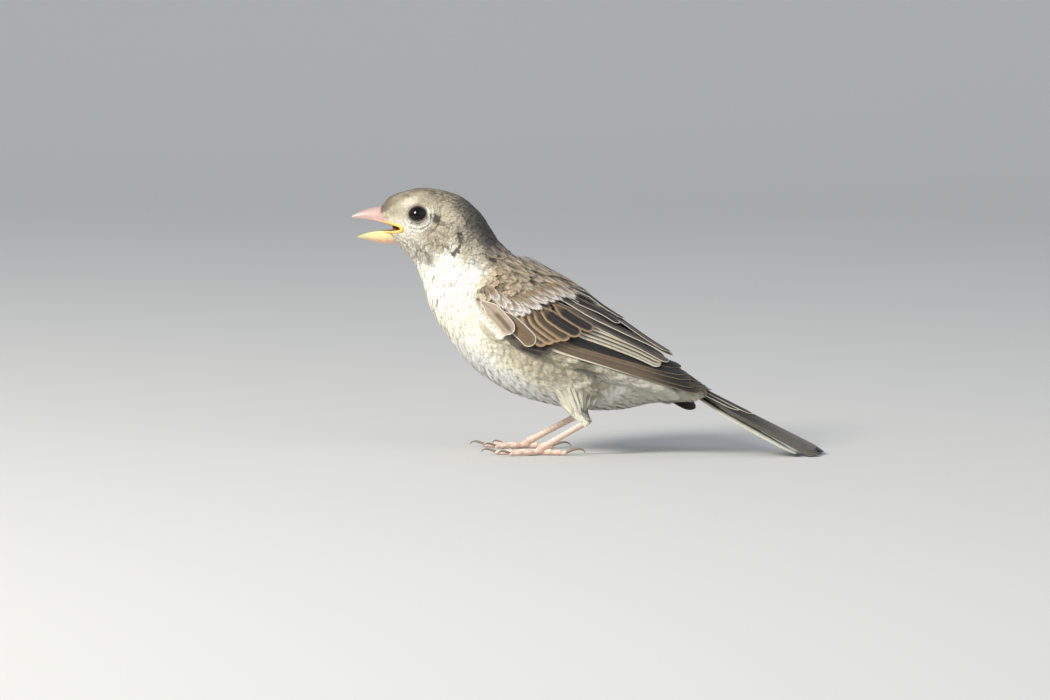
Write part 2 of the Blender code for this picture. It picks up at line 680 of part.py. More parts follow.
def tier_feathers(tier, side, chance):
    """The vanes of one tier, stepped from its first feather to its last, each a little unlike the next."""
    made = []
    for i in range(tier["count"]):
        share = i / (tier["count"] - 1)
        root, tip = (
            np.array(tier["first"][end]) * (1 - share) + np.array(tier["last"][end]) * share for end in (0, 1)
        )
        root, tip = hung(root, side), hung(tip + chance.uniform(-FEATHER_SHIFT, FEATHER_SHIFT, 2), side)
        half_width = np.interp(share, [0, 1], tier["half_width"]) * chance.uniform(*FEATHER_WIDTH_RANGE)
        first, last = np.array(tier["height"])
        height = first * (1 - share) + last * share
        made.append(vane(f"vane_{i}", root, tip, half_width, height, tier["bow"]))
    return made


def make_wing(side):
    """A folded wing: its arm and every tier of feathers in one, cut clear of the body."""
    wing = wing_arm("wing_" + SIDE_NAMES[side], side)
    chance = np.random.default_rng(FEATHER_SEED)
    boolean(wing, [feather for tier in WING_TIERS for feather in tier_feathers(tier, side, chance)], "UNION")
    boolean(wing, [body_solid("torso_allowance", GAP)], "DIFFERENCE")
    if side == RIGHT:
        wing.data.transform(Matrix.Scale(-1.0, 4, (0.0, 1.0, 0.0)))
        wing.data.flip_normals()
    keep_largest(wing)
    wing.data.materials.clear()
    wing.data.materials.append(material("wing_brown"))
    return wing


def tail_feather(pair, side):
    """One tail vane in the tail's own plane: x runs to the tip, y across, z up."""
    u = np.array([station[0] for station in VANE_STATIONS])
    wide = TAIL_HALF_WIDTH * np.array([station[1] for station in VANE_STATIONS])
    share = pair / (TAIL_PAIRS - 1)
    full = math.dist(TAIL_ROOT, TAIL_TIP)
    length = full - TAIL_NOTCH * (1 - share) - (1.2 if pair == TAIL_PAIRS - 1 else 0.0)
    if side == LEFT:
        length -= TAIL_LEFT_SHORT * smoothstep(share * 1.4 - 0.4)
    turn = side * TAIL_SPREAD * (share * 0.92 + 0.08)
    columns = np.array([-1.0, 0.0, 1.0])
    reach = wide[:, None] * columns[None, :] + side * 0.9
    x = u[:, None] * length * np.ones_like(reach)
    level = -TAIL_PAIR_DROP * pair - 0.05 * side * wide[:, None] * columns[None, :]
    thick = np.interp(u, [0.0, 0.7, 1.0], [VANE_THICK, VANE_THICK, VANE_TIP_THICK])[:, None]
    cos, sin = math.cos(turn), math.sin(turn)
    flat = [x * cos - reach * sin, x * sin + reach * cos]
    top = np.stack([*flat, level + 0.6], axis=-1)
    bottom = np.stack([*flat, level + 0.6 - thick], axis=-1)
    return slab(f"rectrix_{pair}_{side}", top, bottom)


def make_tail():
    """The tail: twelve vanes in pairs under the middle one, on a stub that meets the body."""
    half_width, half_height, length = TAIL_STUB
    angle = np.arange(TAIL_STUB_SIDES) * 2 * math.pi / TAIL_STUB_SIDES
    rings = []
    for x, size in ((-3.0, 0.9), (0.0, 1.0), (length * 0.6, 0.8), (length, 0.3)):
        y, z = size * half_width * np.cos(angle), size * half_height * np.sin(angle) - TAIL_STUB_DROP
        rings.append(np.stack([np.full(TAIL_STUB_SIDES, x), y, z], axis=1))
    tail = loft("tail", rings)
    boolean(tail, [tail_feather(pair, side) for pair in range(TAIL_PAIRS) for side in (LEFT, RIGHT)], "UNION")
    run, fall = TAIL_TIP[0] - TAIL_ROOT[0], TAIL_ROOT[1] - TAIL_TIP[1]
    place = Matrix.Translation(Vector((TAIL_ROOT[0], 0.0, TAIL_ROOT[1])) * MM)
    pitch = Matrix.Rotation(math.atan2(fall, run), 4, "Y")
    roll = Matrix.Rotation(TAIL_ROLL, 4, "X")
    tail.data.transform(place @ pitch @ roll)
    slice_off(tail, (0.0, 0.0, 0.0), (0.0, 0.0, -1.0))
    boolean(tail, [body_solid("rump_allowance", GAP)], "DIFFERENCE")
    keep_largest(tail)
    tail.data.materials.clear()
    tail.data.materials.append(material("tail_brown"))
    return tail


def make_thigh(side):
    """The feathered upper leg, cut clear of the belly, down to the ankle."""
    foot = FEET[side]
    line = curve_through(foot["hip"], foot["knee"], foot["ankle"], 7)
    radii = np.interp(np.linspace(0.0, 1.0, 7), [0.0, 0.5, 1.0], THIGH_RADII)
    thigh = tube("thigh_" + SIDE_NAMES[side], line, radii, 14, "plumage_pale")
    boolean(thigh, [body_solid("belly_allowance", GAP), shank("shank_allowance", side, GAP)], "DIFFERENCE")
    keep_largest(thigh)
    return thigh


def shank(name, side, grow=0.0, finish=None):
    """The bare lower leg, stepped by its scutes, between the ankle and the toes' hub."""
    ankle, hub = np.array(FEET[side]["ankle"]), np.array([*FEET[side]["hub"], HUB_HEIGHT])
    way = (hub - ankle) / np.linalg.norm(hub - ankle)
    start, end = ankle - way * grow, hub - way * (TARSUS_RADIUS + 0.6)
    path, radii = [], []
    for i in range(TARSUS_RINGS):
        for share, step in ((0.04, 0.0), (0.96, SCUTE_STEP)):
            along = (i + share) / TARSUS_RINGS
            path.append(start + (end - start) * along)
            radii.append(TARSUS_RADIUS * (1.05 - 0.12 * math.sin(math.pi * along)) + step + grow)
    return tube(name, path, radii, 8, finish)


def make_tarsus(side):
    return shank("tarsus_" + SIDE_NAMES[side], side, finish="leg_pink")


def toe(name, hub, heading, length, claw, radius):
    """A toe that lies on the floor, with pads at its joints, and its curved claw."""
    way = np.array([math.cos(heading), math.sin(heading)])
    share = np.linspace(0.0, 1.0, TOE_RINGS)
    pads = 1.0 + TOE_PAD_SWELL * np.cos(share * TOE_JOINTS * 2 * math.pi)
    sizes = radius * (1.0 - TOE_TAPER * share) * pads
    heights = sizes - TOE_SINK + TOE_ROOT_RISE * np.exp(-((share / 0.12) ** 2))
    spots = np.array(hub) + share[:, None] * length * way
    digit = tube(name, np.column_stack([spots, heights]), sizes, TOE_SIDES)
    share = np.linspace(0.0, 1.0, CLAW_RINGS)
    thick = np.interp(share, [0.0, 1.0], [radius * 0.62, CLAW_TIP_RADIUS])
    ahead = claw * (0.75 * np.sin(share * math.pi / 2) + 0.2 * share)
    rise = 0.55 + 0.34 * claw * (np.sin(share * math.pi * 0.86) - 0.36 * share)
    spots = np.array(hub) + (length - CLAW_ROOT + ahead)[:, None] * way
    nail = tube(name + "_claw", np.column_stack([spots, np.maximum(rise, thick + 0.05)]), thick, CLAW_SIDES)
    return [digit, nail]


def make_foot(side):
    """Four toes and their claws on one hub, with flat soles on the floor."""
    hub = FEET[side]["hub"]
    foot = ball("foot_" + SIDE_NAMES[side], (*hub, HUB_HEIGHT - 0.35), (1.35, 1.25, 1.35), 12, 8)
    pieces = []
    for name, turn, length, claw, radius in TOES:
        outward = turn if side == RIGHT else -turn
        heading = math.radians(180.0 - outward + FEET[side]["turn"])
        pieces += toe(name, hub, heading, length, claw, radius)
    boolean(foot, pieces, "UNION")
    slice_off(foot, (0.0, 0.0, 0.0), (0.0, 0.0, -1.0))
    keep_largest(foot)
    foot.data.materials.clear()
    foot.data.materials.append(material("leg_pink"))
    return foot


def pose_object(obj):
    """Writes the turned head into a piece's mesh."""
    count = len(obj.data.vertices)
    points = np.empty(count * 3, np.float32)
    obj.data.vertices.foreach_get("co", points)
    turned = pose(points.reshape(-1, 3).astype(float) / MM) * MM
    obj.data.vertices.foreach_set("co", turned.astype(np.float32).ravel())
    obj.data.update()


def set_down(objects):
    """Parents the pieces to one empty that puts the origin at the middle of their footprint, on the floor."""
    collection = bpy.data.collections.new(PART_NAME)
    bpy.context.scene.collection.children.link(collection)
    corners = np.array([vert.co for obj in objects for vert in obj.data.vertices])
    low, high = corners.min(0), corners.max(0)
    holder = bpy.data.objects.new(PART_NAME + "_origin", None)
    holder.location = (-(low[0] + high[0]) / 2, -(low[1] + high[1]) / 2, -low[2])
    collection.objects.link(holder)
    for obj in objects:
        for current in list(obj.users_collection):
            current.objects.unlink(obj)
        collection.objects.link(obj)
        obj.parent = holder


def main():
    clear_scene()
    pieces = [
        make_head(),
        body_piece("neck", HEAD_END, NECK_END, "plumage_head"),
        body_piece("torso", NECK_END, TORSO_END, "plumage_pale"),
        *make_eyes(),
        *make_bill(),
    ]
    for side in (LEFT, RIGHT):
        pieces += [make_wing(side), make_thigh(side), make_tarsus(side), make_foot(side)]
    pieces.append(make_tail())
    for obj in pieces:
        pose_object(obj)
        obj.data.shade_smooth()
        obj.data.set_sharp_from_angle(angle=math.radians(35.0))
    set_down(pieces)


main()
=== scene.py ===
"""The looks of a life-size hen house sparrow, a still model that stands with its bill open.

The script is laid out as an add-on: property groups hold the sizes and colours, one operator makes each
group of pieces, and main() calls them in order. Tables are in millimetres in the bird's own frame, where it
faces -X, its left side is -Y and the floor is z = 0. A piece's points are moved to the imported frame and
turned into metres as its mesh is made.
"""

import math

import bpy
import numpy as np
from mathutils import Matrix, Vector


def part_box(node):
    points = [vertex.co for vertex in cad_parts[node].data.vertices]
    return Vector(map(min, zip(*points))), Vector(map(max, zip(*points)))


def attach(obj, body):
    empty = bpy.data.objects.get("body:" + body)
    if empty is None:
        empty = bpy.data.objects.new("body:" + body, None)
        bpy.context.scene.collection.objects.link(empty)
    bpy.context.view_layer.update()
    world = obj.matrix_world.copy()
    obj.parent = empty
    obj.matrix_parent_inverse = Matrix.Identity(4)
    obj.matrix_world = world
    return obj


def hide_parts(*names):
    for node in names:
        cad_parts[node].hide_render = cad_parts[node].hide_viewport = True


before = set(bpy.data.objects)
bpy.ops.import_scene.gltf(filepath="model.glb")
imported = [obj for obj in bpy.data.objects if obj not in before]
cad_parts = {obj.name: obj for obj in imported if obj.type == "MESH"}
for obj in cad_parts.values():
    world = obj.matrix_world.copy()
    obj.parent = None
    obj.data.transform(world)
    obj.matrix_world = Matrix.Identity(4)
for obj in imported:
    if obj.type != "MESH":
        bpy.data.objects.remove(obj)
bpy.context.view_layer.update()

bl_info = {
    "name": "House Sparrow",
    "version": (1, 0, 0),
    "blender": (4, 5, 0),
    "location": "3D View > Sidebar > Sparrow",
    "description": "Plumage, bill, eyes, legs and studio of a house sparrow model",
    "category": "Object",
}

MM = 0.001
LEFT, RIGHT = -1, 1
SIDE_NAMES = {LEFT: "left", RIGHT: "right"}

# Head, neck and torso: top x and z, bottom x and z, half width of each section from face to tail root
BODY_SECTIONS = (
    (-57.8, 71.2, -54.6, 60.2, 4.2),
    (-55.9, 73.3, -52.7, 57.9, 6.1),
    (-52.3, 74.6, -50.8, 55.6, 7.9),
    (-47.4, 75.6, -49.2, 53.5, 9.3),
    (-41.7, 75.0, -48.2, 51.4, 10.1),
    (-35.8, 73.1, -47.3, 49.2, 10.5),
    (-30.6, 68.7, -46.5, 46.6, 10.7),
    (-27.3, 63.8, -45.8, 43.6, 11.2),
    (-24.0, 58.9, -44.4, 40.3, 12.4),
    (-19.9, 55.6, -42.4, 36.8, 14.3),
    (-14.4, 52.4, -39.1, 32.0, 16.2),
    (-7.9, 48.6, -34.2, 25.8, 17.5),
    (-1.8, 44.8, -28.0, 20.7, 18.0),
    (4.2, 40.6, -19.8, 16.3, 17.7),
    (10.4, 36.2, -10.1, 13.6, 16.2),
    (16.5, 31.6, 0.4, 12.1, 14.0),
    (22.4, 27.6, 10.4, 12.2, 11.0),
    (28.6, 23.6, 20.0, 14.2, 8.0),
    (34.2, 19.8, 29.4, 14.6, 5.6),
    (38.6, 17.0, 36.4, 13.6, 4.2),
)
BODY_SQUARENESS = 2.15  # 2 is an oval, and more is squarer

# The form that the folded wing's feathers lie on, in the same terms
WING_SECTIONS = (
    (-20.5, 57.5, -45.0, 37.5, 14.2),
    (-18.5, 57.0, -42.5, 36.0, 15.6),
    (-13.5, 54.0, -38.8, 31.4, 17.2),
    (-7.0, 50.2, -34.0, 25.2, 18.6),
    (-0.9, 46.6, -28.0, 20.0, 19.3),
    (5.0, 41.6, -20.0, 15.5, 19.4),
    (11.4, 37.0, -10.6, 12.4, 18.2),
    (17.6, 32.4, 0.2, 11.0, 16.2),
    (24.2, 28.0, 10.2, 11.0, 13.8),
    (29.8, 23.6, 20.0, 11.8, 11.4),
    (36.0, 19.6, 29.4, 11.4, 9.4),
    (43.0, 15.6, 38.0, 8.4, 8.2),
)
WING_TUCK = 0.3  # how far the form curls in under its widest line, against an oval's 1
SHOULDER = (-30.0, 48.0)  # x, z
WING_DROOP = {LEFT: 0.0, RIGHT: math.radians(5.8)}  # about the shoulder

# The wing's arm under the feathers: x and z of its middle line, and half width there
WING_ARM = (
    (-29.4, 47.4, 1.2),
    (-27.0, 46.6, 3.0),
    (-23.0, 45.0, 5.0),
    (-17.0, 42.8, 6.4),
    (-9.0, 39.4, 6.4),
    (0.0, 35.8, 5.4),
    (9.0, 32.2, 4.6),
    (18.0, 28.4, 3.4),
    (24.0, 25.6, 2.0),
)
ARM_TOP, ARM_BOTTOM = -0.3, -2.0  # its two faces, counted from the wing's form

# The head looks a little to the bird's left
HEAD_TURN = math.radians(8.0)
HEAD_PIVOT = (-33.7, 54.3)  # x, z
HEAD_UP = (-0.55, 0.83)  # the way from the neck to the head
HEAD_TURN_OVER = 14.0  # length of the neck that the turn grows over

EYE_X, EYE_Z = -48.4, 68.4
EYE_RADIUS = 3.15
EYE_STAND_OUT = 0.55  # how far the ball rises over the cheek
EYE_BARE = 2.6  # from the eye's middle to the first feathers
LID_WIDE, LID_HIGH, LID_OUTER = 2.36, 1.88, 2.75  # half sizes of the eye's opening, lids' outer radius

# The bill's two halves: top x and z, bottom x and z, half width, from the root to the tip
BILL_UPPER_SECTIONS = (
    (-54.6, 71.6, -52.0, 64.0, 3.9),
    (-57.6, 70.5, -55.6, 65.0, 3.5),
    (-61.0, 69.9, -59.8, 66.0, 2.55),
    (-64.4, 69.0, -63.8, 66.7, 1.45),
    (-67.3, 67.6, -67.2, 67.1, 0.3),
)
BILL_LOWER_SECTIONS = (
    (-52.0, 63.5, -51.6, 59.6, 3.5),
    (-55.0, 63.4, -54.8, 59.6, 3.2),
    (-58.8, 63.3, -58.9, 59.8, 2.35),
    (-62.4, 62.7, -62.6, 60.6, 1.3),
    (-65.6, 61.7, -65.7, 61.3, 0.3),
)
NOSTRIL = (-58.2, 69.0)  # x, z
MOUTH_CORNER = (-52.4, 64.3)
MOUTH_OPENING = 0.36  # rise of each lip for each millimetre ahead of the corner
GAPE_LINE = (
    (-58.4, 66.3), (-55.4, 65.5), (-53.2, 65.0), (-52.3, 64.3), (-53.0, 63.5), (-55.2, 63.0), (-58.4, 63.2)
)
GAPE_RADII = (0.12, 0.34, 0.5, 0.56, 0.5, 0.36, 0.12)

# Tail, legs and feet, as the solids have them
TAIL_ROOT = (37.6, 15.4)  # x, z
TAIL_TIP = (68.7, 0.0)
TAIL_PAIRS = 6
TAIL_HALF_WIDTH = 3.3
TAIL_SPREAD = math.radians(8.5)  # of the outermost right feather
TAIL_PAIR_DROP = 0.36  # from each pair to the one outside it
TAIL_ROLL = math.radians(11.0)
TAIL_NOTCH = 2.6  # how much shorter the middle pair is
TAIL_HIDDEN = 7.0  # how far the feathers run on under the coat
TAIL_COVERTS = ((LEFT, 7.5, 0.3), (RIGHT, 11.5, 0.45))  # side, length in view, height over the tail
TAIL_LEFT_SHORT = 6.0  # how much shorter the outermost left feather is
HUB_HEIGHT = 1.75  # of the leg's end, where the toes meet
HUB_RADII = (1.35, 1.25, 1.35)  # of the ball round it
HUB_SINK = 0.35  # its middle lies so far under the leg's end
FEET = {
    LEFT: dict(
        hip=(-5.2, -7.0, 19.5), knee=(-1.4, -8.6, 13.6), ankle=(1.6, -9.4, 9.4), hub=(-11.4, -10.4), turn=4.0
    ),
    RIGHT: dict(
        hip=(-9.0, 7.0, 19.5), knee=(-5.4, 8.6, 13.8), ankle=(-3.0, 9.4, 9.8), hub=(-18.2, 10.4), turn=-7.0
    ),
}
THIGH_RADII = (5.0, 3.5, 2.0)
THIGH_COAT = 0.7  # depth of the feathers over the flesh of a thigh
TARSUS_RADIUS = 0.95
TOES = (  # name, heading from straight ahead (outward is positive), toe length, claw length, radius
    ("inner", -27.0, 9.6, 4.6, 0.78),
    ("middle", -1.0, 13.2, 5.0, 0.85),
    ("outer", 25.0, 9.8, 4.4, 0.75),
    ("hind", 176.0, 7.6, 6.4, 0.9),
)
TOE_SINK = 0.14  # how far the pads are pressed flat on the floor
TOE_JOINTS, TOE_PAD_SWELL, TOE_TAPER = 3, 0.13, 0.28
TOE_ROOT_RISE = 0.45  # how much higher a toe's root lies
CLAW_ROOT = 0.9  # how far a claw starts inside its toe's tip

# The camera: the way it looks, and the place at the middle of the frame, in the picture plane
CAMERA_AZIMUTH, CAMERA_ELEVATION = math.radians(8.0), math.radians(4.5)
CAMERA_DISTANCE = 2.0
FRAME_WIDTH = 0.3014  # metres that the frame spans at the bird
FRAME_MIDDLE = (-17.25, 29.2)


def colour(name, description, value):
    return bpy.props.FloatVectorProperty(
        name=name, description=description, size=3, subtype="COLOR", min=0.0, max=1.0, default=value
    )


def length(name, description, value):
    return bpy.props.FloatProperty(name=name, description=description, default=value, min=0.0, unit="LENGTH")


class SPARROW_PG_plumage(bpy.types.PropertyGroup):
    """Colours of the small feathers."""

    breast: colour("Breast", "Cream of the breast", (0.90, 0.86, 0.70))
    throat: colour("Throat", "Buff white of the throat and the side of the neck", (0.95, 0.93, 0.83))
    flank: colour("Flank", "Grey buff of the flank", (0.46, 0.41, 0.29))
    flank_bar: colour("Flank bars", "Grey brown of the faint bars on the flank", (0.22, 0.18, 0.11))
    belly: colour("Belly", "White of the belly", (0.80, 0.80, 0.76))
    undertail: colour("Undertail", "Olive grey under the tail", (0.58, 0.56, 0.47))
    shade: colour("Shade", "Dark grey behind the thigh", (0.10, 0.10, 0.085))
    cheek: colour("Cheek", "Speckled buff of the cheek and chin", (0.64, 0.59, 0.49))
    ear: colour("Ear coverts", "Brown of the ear coverts", (0.45, 0.385, 0.27))
    brow: colour("Brow", "Pale buff of the brow and lores", (0.48, 0.425, 0.30))
    crown: colour("Crown", "Grey brown of the crown", (0.33, 0.275, 0.19))
    # The nape's dark grey is partly its own colour and partly painted shade: darker than the plumage, for the
    # shade on the back of the head
    nape: colour("Nape", "Dark grey of the nape", (0.085, 0.077, 0.068))
    mark: colour("Marks", "Blackish brown of the marks and streaks", (0.04, 0.03, 0.022))
    mantle: colour("Mantle", "Buff of the back and shoulder feathers", (0.62, 0.52, 0.37))
    rump: colour("Rump", "Grey brown of the rump", (0.20, 0.165, 0.11))
    lesser: colour("Lesser coverts", "Warm brown of the small wing coverts", (0.42, 0.30, 0.18))
    bar: colour("Wing bar", "White of the wing bar", (0.94, 0.93, 0.90))
    down: colour("Down", "Grey of the feathers' downy roots", (0.30, 0.28, 0.24))


class SPARROW_PG_vanes(bpy.types.PropertyGroup):
    """Colours of the wing and tail feathers."""

    covert: colour("Covert", "Rufous brown web of the greater coverts", (0.15, 0.094, 0.045))
    covert_rim: colour("Covert rim", "Rufous buff rim of the greater coverts", (0.36, 0.24, 0.125))
    covert_dark: colour("Covert middle", "Dark brown middle of the greater coverts", (0.06, 0.04, 0.024))
    covert_grey: colour("Outer covert", "Grey buff middle of the outermost coverts", (0.35, 0.28, 0.21))
    covert_brown: colour("Second covert", "Brown middle of the covert beside it", (0.155, 0.11, 0.066))
    rim_pale: colour("Pale rim", "Pale buff rim", (0.70, 0.63, 0.48))
    # Near black is the inner coverts' own colour; in the fold between the secondaries and the primaries it is
    # a painted shadow
    black: colour("Black middle", "Near black of the inner coverts and the folds", (0.012, 0.010, 0.009))
    tertial: colour("Tertial", "Grey brown middle of the tertials", (0.10, 0.08, 0.06))
    panel: colour("Panel", "Cream edges of the secondaries", (0.66, 0.59, 0.44))
    primary: colour("Primary", "Brown of the primaries", (0.135, 0.095, 0.058))
    primary_rim: colour("Primary rim", "Buff edge of the primaries", (0.24, 0.175, 0.10))
    tail: colour("Tail", "Olive grey of the tail", (0.13, 0.12, 0.095))
    tail_dark: colour("Tail base", "Greenish black of the tail's inner half", (0.012, 0.014, 0.010))
    # The tail's pale rim is partly the feathers' own edge and partly a painted highlight of light on the
    # tail's upper edge
    tail_rim: colour("Tail rim", "Pale edge of the tail feathers", (0.66, 0.67, 0.66))
    tail_cream: colour("Outer tail edge", "Cream edge of the outermost tail feather", (0.76, 0.73, 0.56))
    shaft: colour("Shaft", "Brown of the shafts", (0.07, 0.05, 0.035))


class SPARROW_PG_bare(bpy.types.PropertyGroup):
    """Colours of the bill, mouth, eyes, legs and claws."""

    bill: colour("Bill", "Pinkish grey of the upper half of the bill", (0.62, 0.41, 0.36))
    bill_ridge: colour("Bill ridge", "Horn grey of the ridge and tip", (0.27, 0.21, 0.19))
    bill_yellow: colour("Bill yellow", "Yellow of the lower half of the bill", (0.88, 0.76, 0.38))
    bill_pink: colour("Bill pink", "Pink of the lower half's underside", (0.80, 0.47, 0.33))
    gape: colour("Gape", "Yellow of the folds at the mouth's corners", (0.88, 0.56, 0.11))
    mouth: colour("Mouth", "Orange red of the mouth's lining", (0.26, 0.055, 0.018))
    eye: colour("Eye", "Black brown of the iris", (0.006, 0.004, 0.003))
    lid: colour("Lid", "Grey brown of the lids", (0.055, 0.046, 0.036))
    leg: colour("Leg", "Dull pink of the legs", (0.70, 0.48, 0.38))
    scute: colour("Scutes", "Pale crust of the leg's scutes", (0.92, 0.85, 0.74))
    claw: colour("Claw", "Grey brown of the claws", (0.30, 0.24, 0.19))


class SPARROW_PG_sizes(bpy.types.PropertyGroup):
    """Sizes of the feathers, and of the studio."""

    head_feather: length("Head feather", "Length of a feather on the crown and cheek", 0.0034)
    body_feather: length("Body feather", "Length of a feather on the body", 0.0086)
    floor_width: length("Floor", "Width of the studio floor", 6.0)
    key_power: bpy.props.FloatProperty(name="Key light", description="Power of the key light", default=26.0)
    fill_power: bpy.props.FloatProperty(name="Fill light", description="Power of the fill light", default=6.0)


def own_names(held):
    """The names of a property group's own values."""
    return [name for name in held.bl_rna.properties.keys() if name not in ("rna_type", "name")]


def palette(group):
    """The colours of a property group of the scene, by name, as arrays."""
    held = getattr(bpy.context.scene, group)
    return {name: np.array(getattr(held, name)) for name in own_names(held)}


def smoothstep(x):
    """3 x^2 - 2 x^3, held between 0 and 1."""
    x = np.clip(x, 0.0, 1.0)
    return x * x * (3.0 - 2.0 * x)


def ramp(x, start, run):
    """Rises smoothly from 0 where x is start to 1 where it is start + run; with a run below 0 it falls."""
    return smoothstep((x - start) / run)


def unit(vectors):
    """Each vector divided by its length."""
    return vectors / np.maximum(np.linalg.norm(vectors, axis=-1, keepdims=True), 1e-9)


def blend(a, b, share):
    """Mixes colours a and b, row by row."""
    share = np.asarray(share)[..., None]
    return a * (1 - share) + b * share


def evenly(colour, points):
    """The same colour for every point."""
    return np.broadcast_to(colour, points.shape)


def on_side(points, side):
    """Points of the left side, or their mirror image for the right."""
    return points if side == LEFT else points * (1.0, -1.0, 1.0)


def sampled(table, at):
    """Rows of a table at fractional row numbers, on straight lines between its own rows."""
    return np.stack([np.interp(at, np.arange(len(table)), column) for column in np.transpose(table)], axis=-1)


def spaced(table, count):
    """A number of rows spread evenly over a table."""
    return sampled(table, np.linspace(0.0, len(table) - 1.0, count))


def circle(columns):
    """Evenly spaced angles, once round."""
    return np.arange(columns) * 2 * math.pi / columns


def round_grid(end, rows, columns):
    """A grid of places from 0 to end along, and of angles round."""
    return np.meshgrid(np.linspace(0.0, end, rows), circle(columns), indexing="ij")


class Form:
    """A smooth shape through oval sections: t counts sections, and the angle runs up from the widest line."""

    def __init__(self, sections, squareness=2.0, tuck=1.0):
        self.table = np.array(sections, float)
        before = np.vstack([2 * self.table[0] - self.table[1], self.table[:-1]])
        after = np.vstack([self.table[1:], 2 * self.table[-1] - self.table[-2]])
        self.slopes = (after - before) / 2
        self.last = len(self.table) - 1
        self.squareness = squareness
        self.tuck = tuck
        self.grid = np.linspace(0.0, self.last, 40 * self.last + 1)
        self.grid_sizes = self.sizes(self.grid)

    def sizes(self, t):
        """Top x and z, bottom x and z, half width at t: cubics whose slopes come from the neighbours."""
        t = np.clip(np.asarray(t, float), 0.0, self.last)
        k = np.minimum(t.astype(int), self.last - 1)
        u = (t - k)[..., None]
        a, b, da, db = self.table[k], self.table[k + 1], self.slopes[k], self.slopes[k + 1]
        return (
            (2 * u**3 - 3 * u**2 + 1) * a + (u**3 - 2 * u**2 + u) * da
            + (3 * u**2 - 2 * u**3) * b + (u**3 - u**2) * db
        )

    def points(self, t, angle, grow=0.0):
        """Points of the oval at t, on the left within a quarter turn of angle 0; past the ends it runs on."""
        t = np.asarray(t, float)
        over = (t - np.clip(t, 0.0, self.last))[..., None]
        end = np.where(over > 0, self.slopes[-1], self.slopes[0])
        sizes = self.sizes(t) + over * end * np.array([1.0, 1.0, 1.0, 1.0, 0.0])
        top, low, half = sizes[..., 0:2], sizes[..., 2:4], sizes[..., 4]
        middle, rise = (top + low) / 2, (top - low) / 2
        height = np.linalg.norm(rise, axis=-1)
        power = 2.0 / self.squareness
        up, out = (np.sign(way) * np.abs(way) ** power for way in (np.sin(angle), np.cos(angle)))
        out = np.where((np.sin(angle) < 0) & (self.tuck < 1), 1.0 - self.tuck * (1.0 - out), out)
        flat = middle + rise * (up * (1.0 + grow / height))[..., None]
        return np.stack([flat[..., 0], LEFT * (half + grow) * out, flat[..., 1]], axis=-1)

    def steps(self, t, angle):
        """How the form's point moves for each unit of t and of the angle."""
        step = 1e-3
        along = self.points(t + step, angle) - self.points(t - step, angle)
        around = self.points(t, angle + step) - self.points(t, angle - step)
        return along / (2 * step), around / (2 * step)

    def normals(self, t, angle):
        """Outward directions, from small steps along and round the form."""
        return unit(np.cross(*self.steps(t, angle)))

    def locate(self, xz):
        """The t and angle of the places on the left side that are seen at rows of x and z.

        The line from bottom to top of a section passes the place where their cross product changes sign.
        """
        rows = np.reshape(np.asarray(xz, float), (-1, 2))
        low, line = self.grid_sizes[:, 2:4], self.grid_sizes[:, 0:2] - self.grid_sizes[:, 2:4]
        away = rows[:, None] - low[None]
        turn = line[None, :, 0] * away[..., 1] - line[None, :, 1] * away[..., 0]
        at = np.argmin(np.abs(turn), axis=1)
        row = np.arange(len(rows))
        ahead = np.minimum(at + 1, len(self.grid) - 1)
        other = np.where(turn[row, at] * turn[row, ahead] < 0, ahead, np.maximum(at - 1, 0))
        gap = turn[row, at] - turn[row, other]
        share = np.clip(np.where(gap != 0, turn[row, at] / np.where(gap == 0, 1.0, gap), 0.0), 0.0, 1.0)
        t = self.grid[at] + share * (self.grid[other] - self.grid[at])
        sizes = self.sizes(t)
        line = sizes[:, 0:2] - sizes[:, 2:4]
        level = 2 * ((rows - sizes[:, 2:4]) * line).sum(1) / (line**2).sum(1) - 1
        angle = np.arcsin(np.clip(level, -0.985, 0.985))
        shape = np.shape(xz)[:-1]
        return t.reshape(shape), angle.reshape(shape)


class Limb:
    """A round limb on the parabola that passes three points: s runs from 0 to 1, the angle round it."""

    def __init__(self, path, radii):
        self.path = np.array(path, float)
        self.radii = radii

    def middle(self, s):
        start, mid, end = self.path
        s = np.asarray(s, float)[..., None]
        control = 2 * mid - (start + end) / 2
        return (1 - s) ** 2 * start + 2 * s * (1 - s) * control + s**2 * end

    def points(self, s, angle, grow=0.0):
        along = unit(self.middle(s + 1e-3) - self.middle(s - 1e-3))
        side = unit(np.cross(along, np.broadcast_to((0.0, 1.0, 0.0), along.shape)))
        other = np.cross(side, along)
        radius = np.interp(s, np.linspace(0.0, 1.0, len(self.radii)), self.radii) + grow
        ring = np.cos(angle)[..., None] * other + np.sin(angle)[..., None] * side
        return self.middle(s) + radius[..., None] * ring

    steps = Form.steps

    def normals(self, s, angle):
        return unit(self.points(s, angle) - self.middle(s))


BODY = Form(BODY_SECTIONS, BODY_SQUARENESS)
WING = Form(WING_SECTIONS, tuck=WING_TUCK)


def pose(points):
    """Turns the head about an upright line through the neck, growing from nothing over HEAD_TURN_OVER."""
    x, z = points[..., 0] - HEAD_PIVOT[0], points[..., 2] - HEAD_PIVOT[1]
    share = smoothstep((x * HEAD_UP[0] + z * HEAD_UP[1]) / HEAD_TURN_OVER)
    turn = HEAD_TURN * share
    cos, sin = np.cos(turn), np.sin(turn)
    y = points[..., 1]
    return np.stack([HEAD_PIVOT[0] + x * cos - y * sin, x * sin + y * cos, points[..., 2]], axis=-1)


def hung(xz, side):
    """Side-view places of a wing, turned down about the shoulder by its droop."""
    cos, sin = math.cos(WING_DROOP[side]), math.sin(WING_DROOP[side])
    x, z = np.moveaxis(np.asarray(xz, float) - SHOULDER, -1, 0)
    return np.stack([x * cos + z * sin, z * cos - x * sin], axis=-1) + SHOULDER


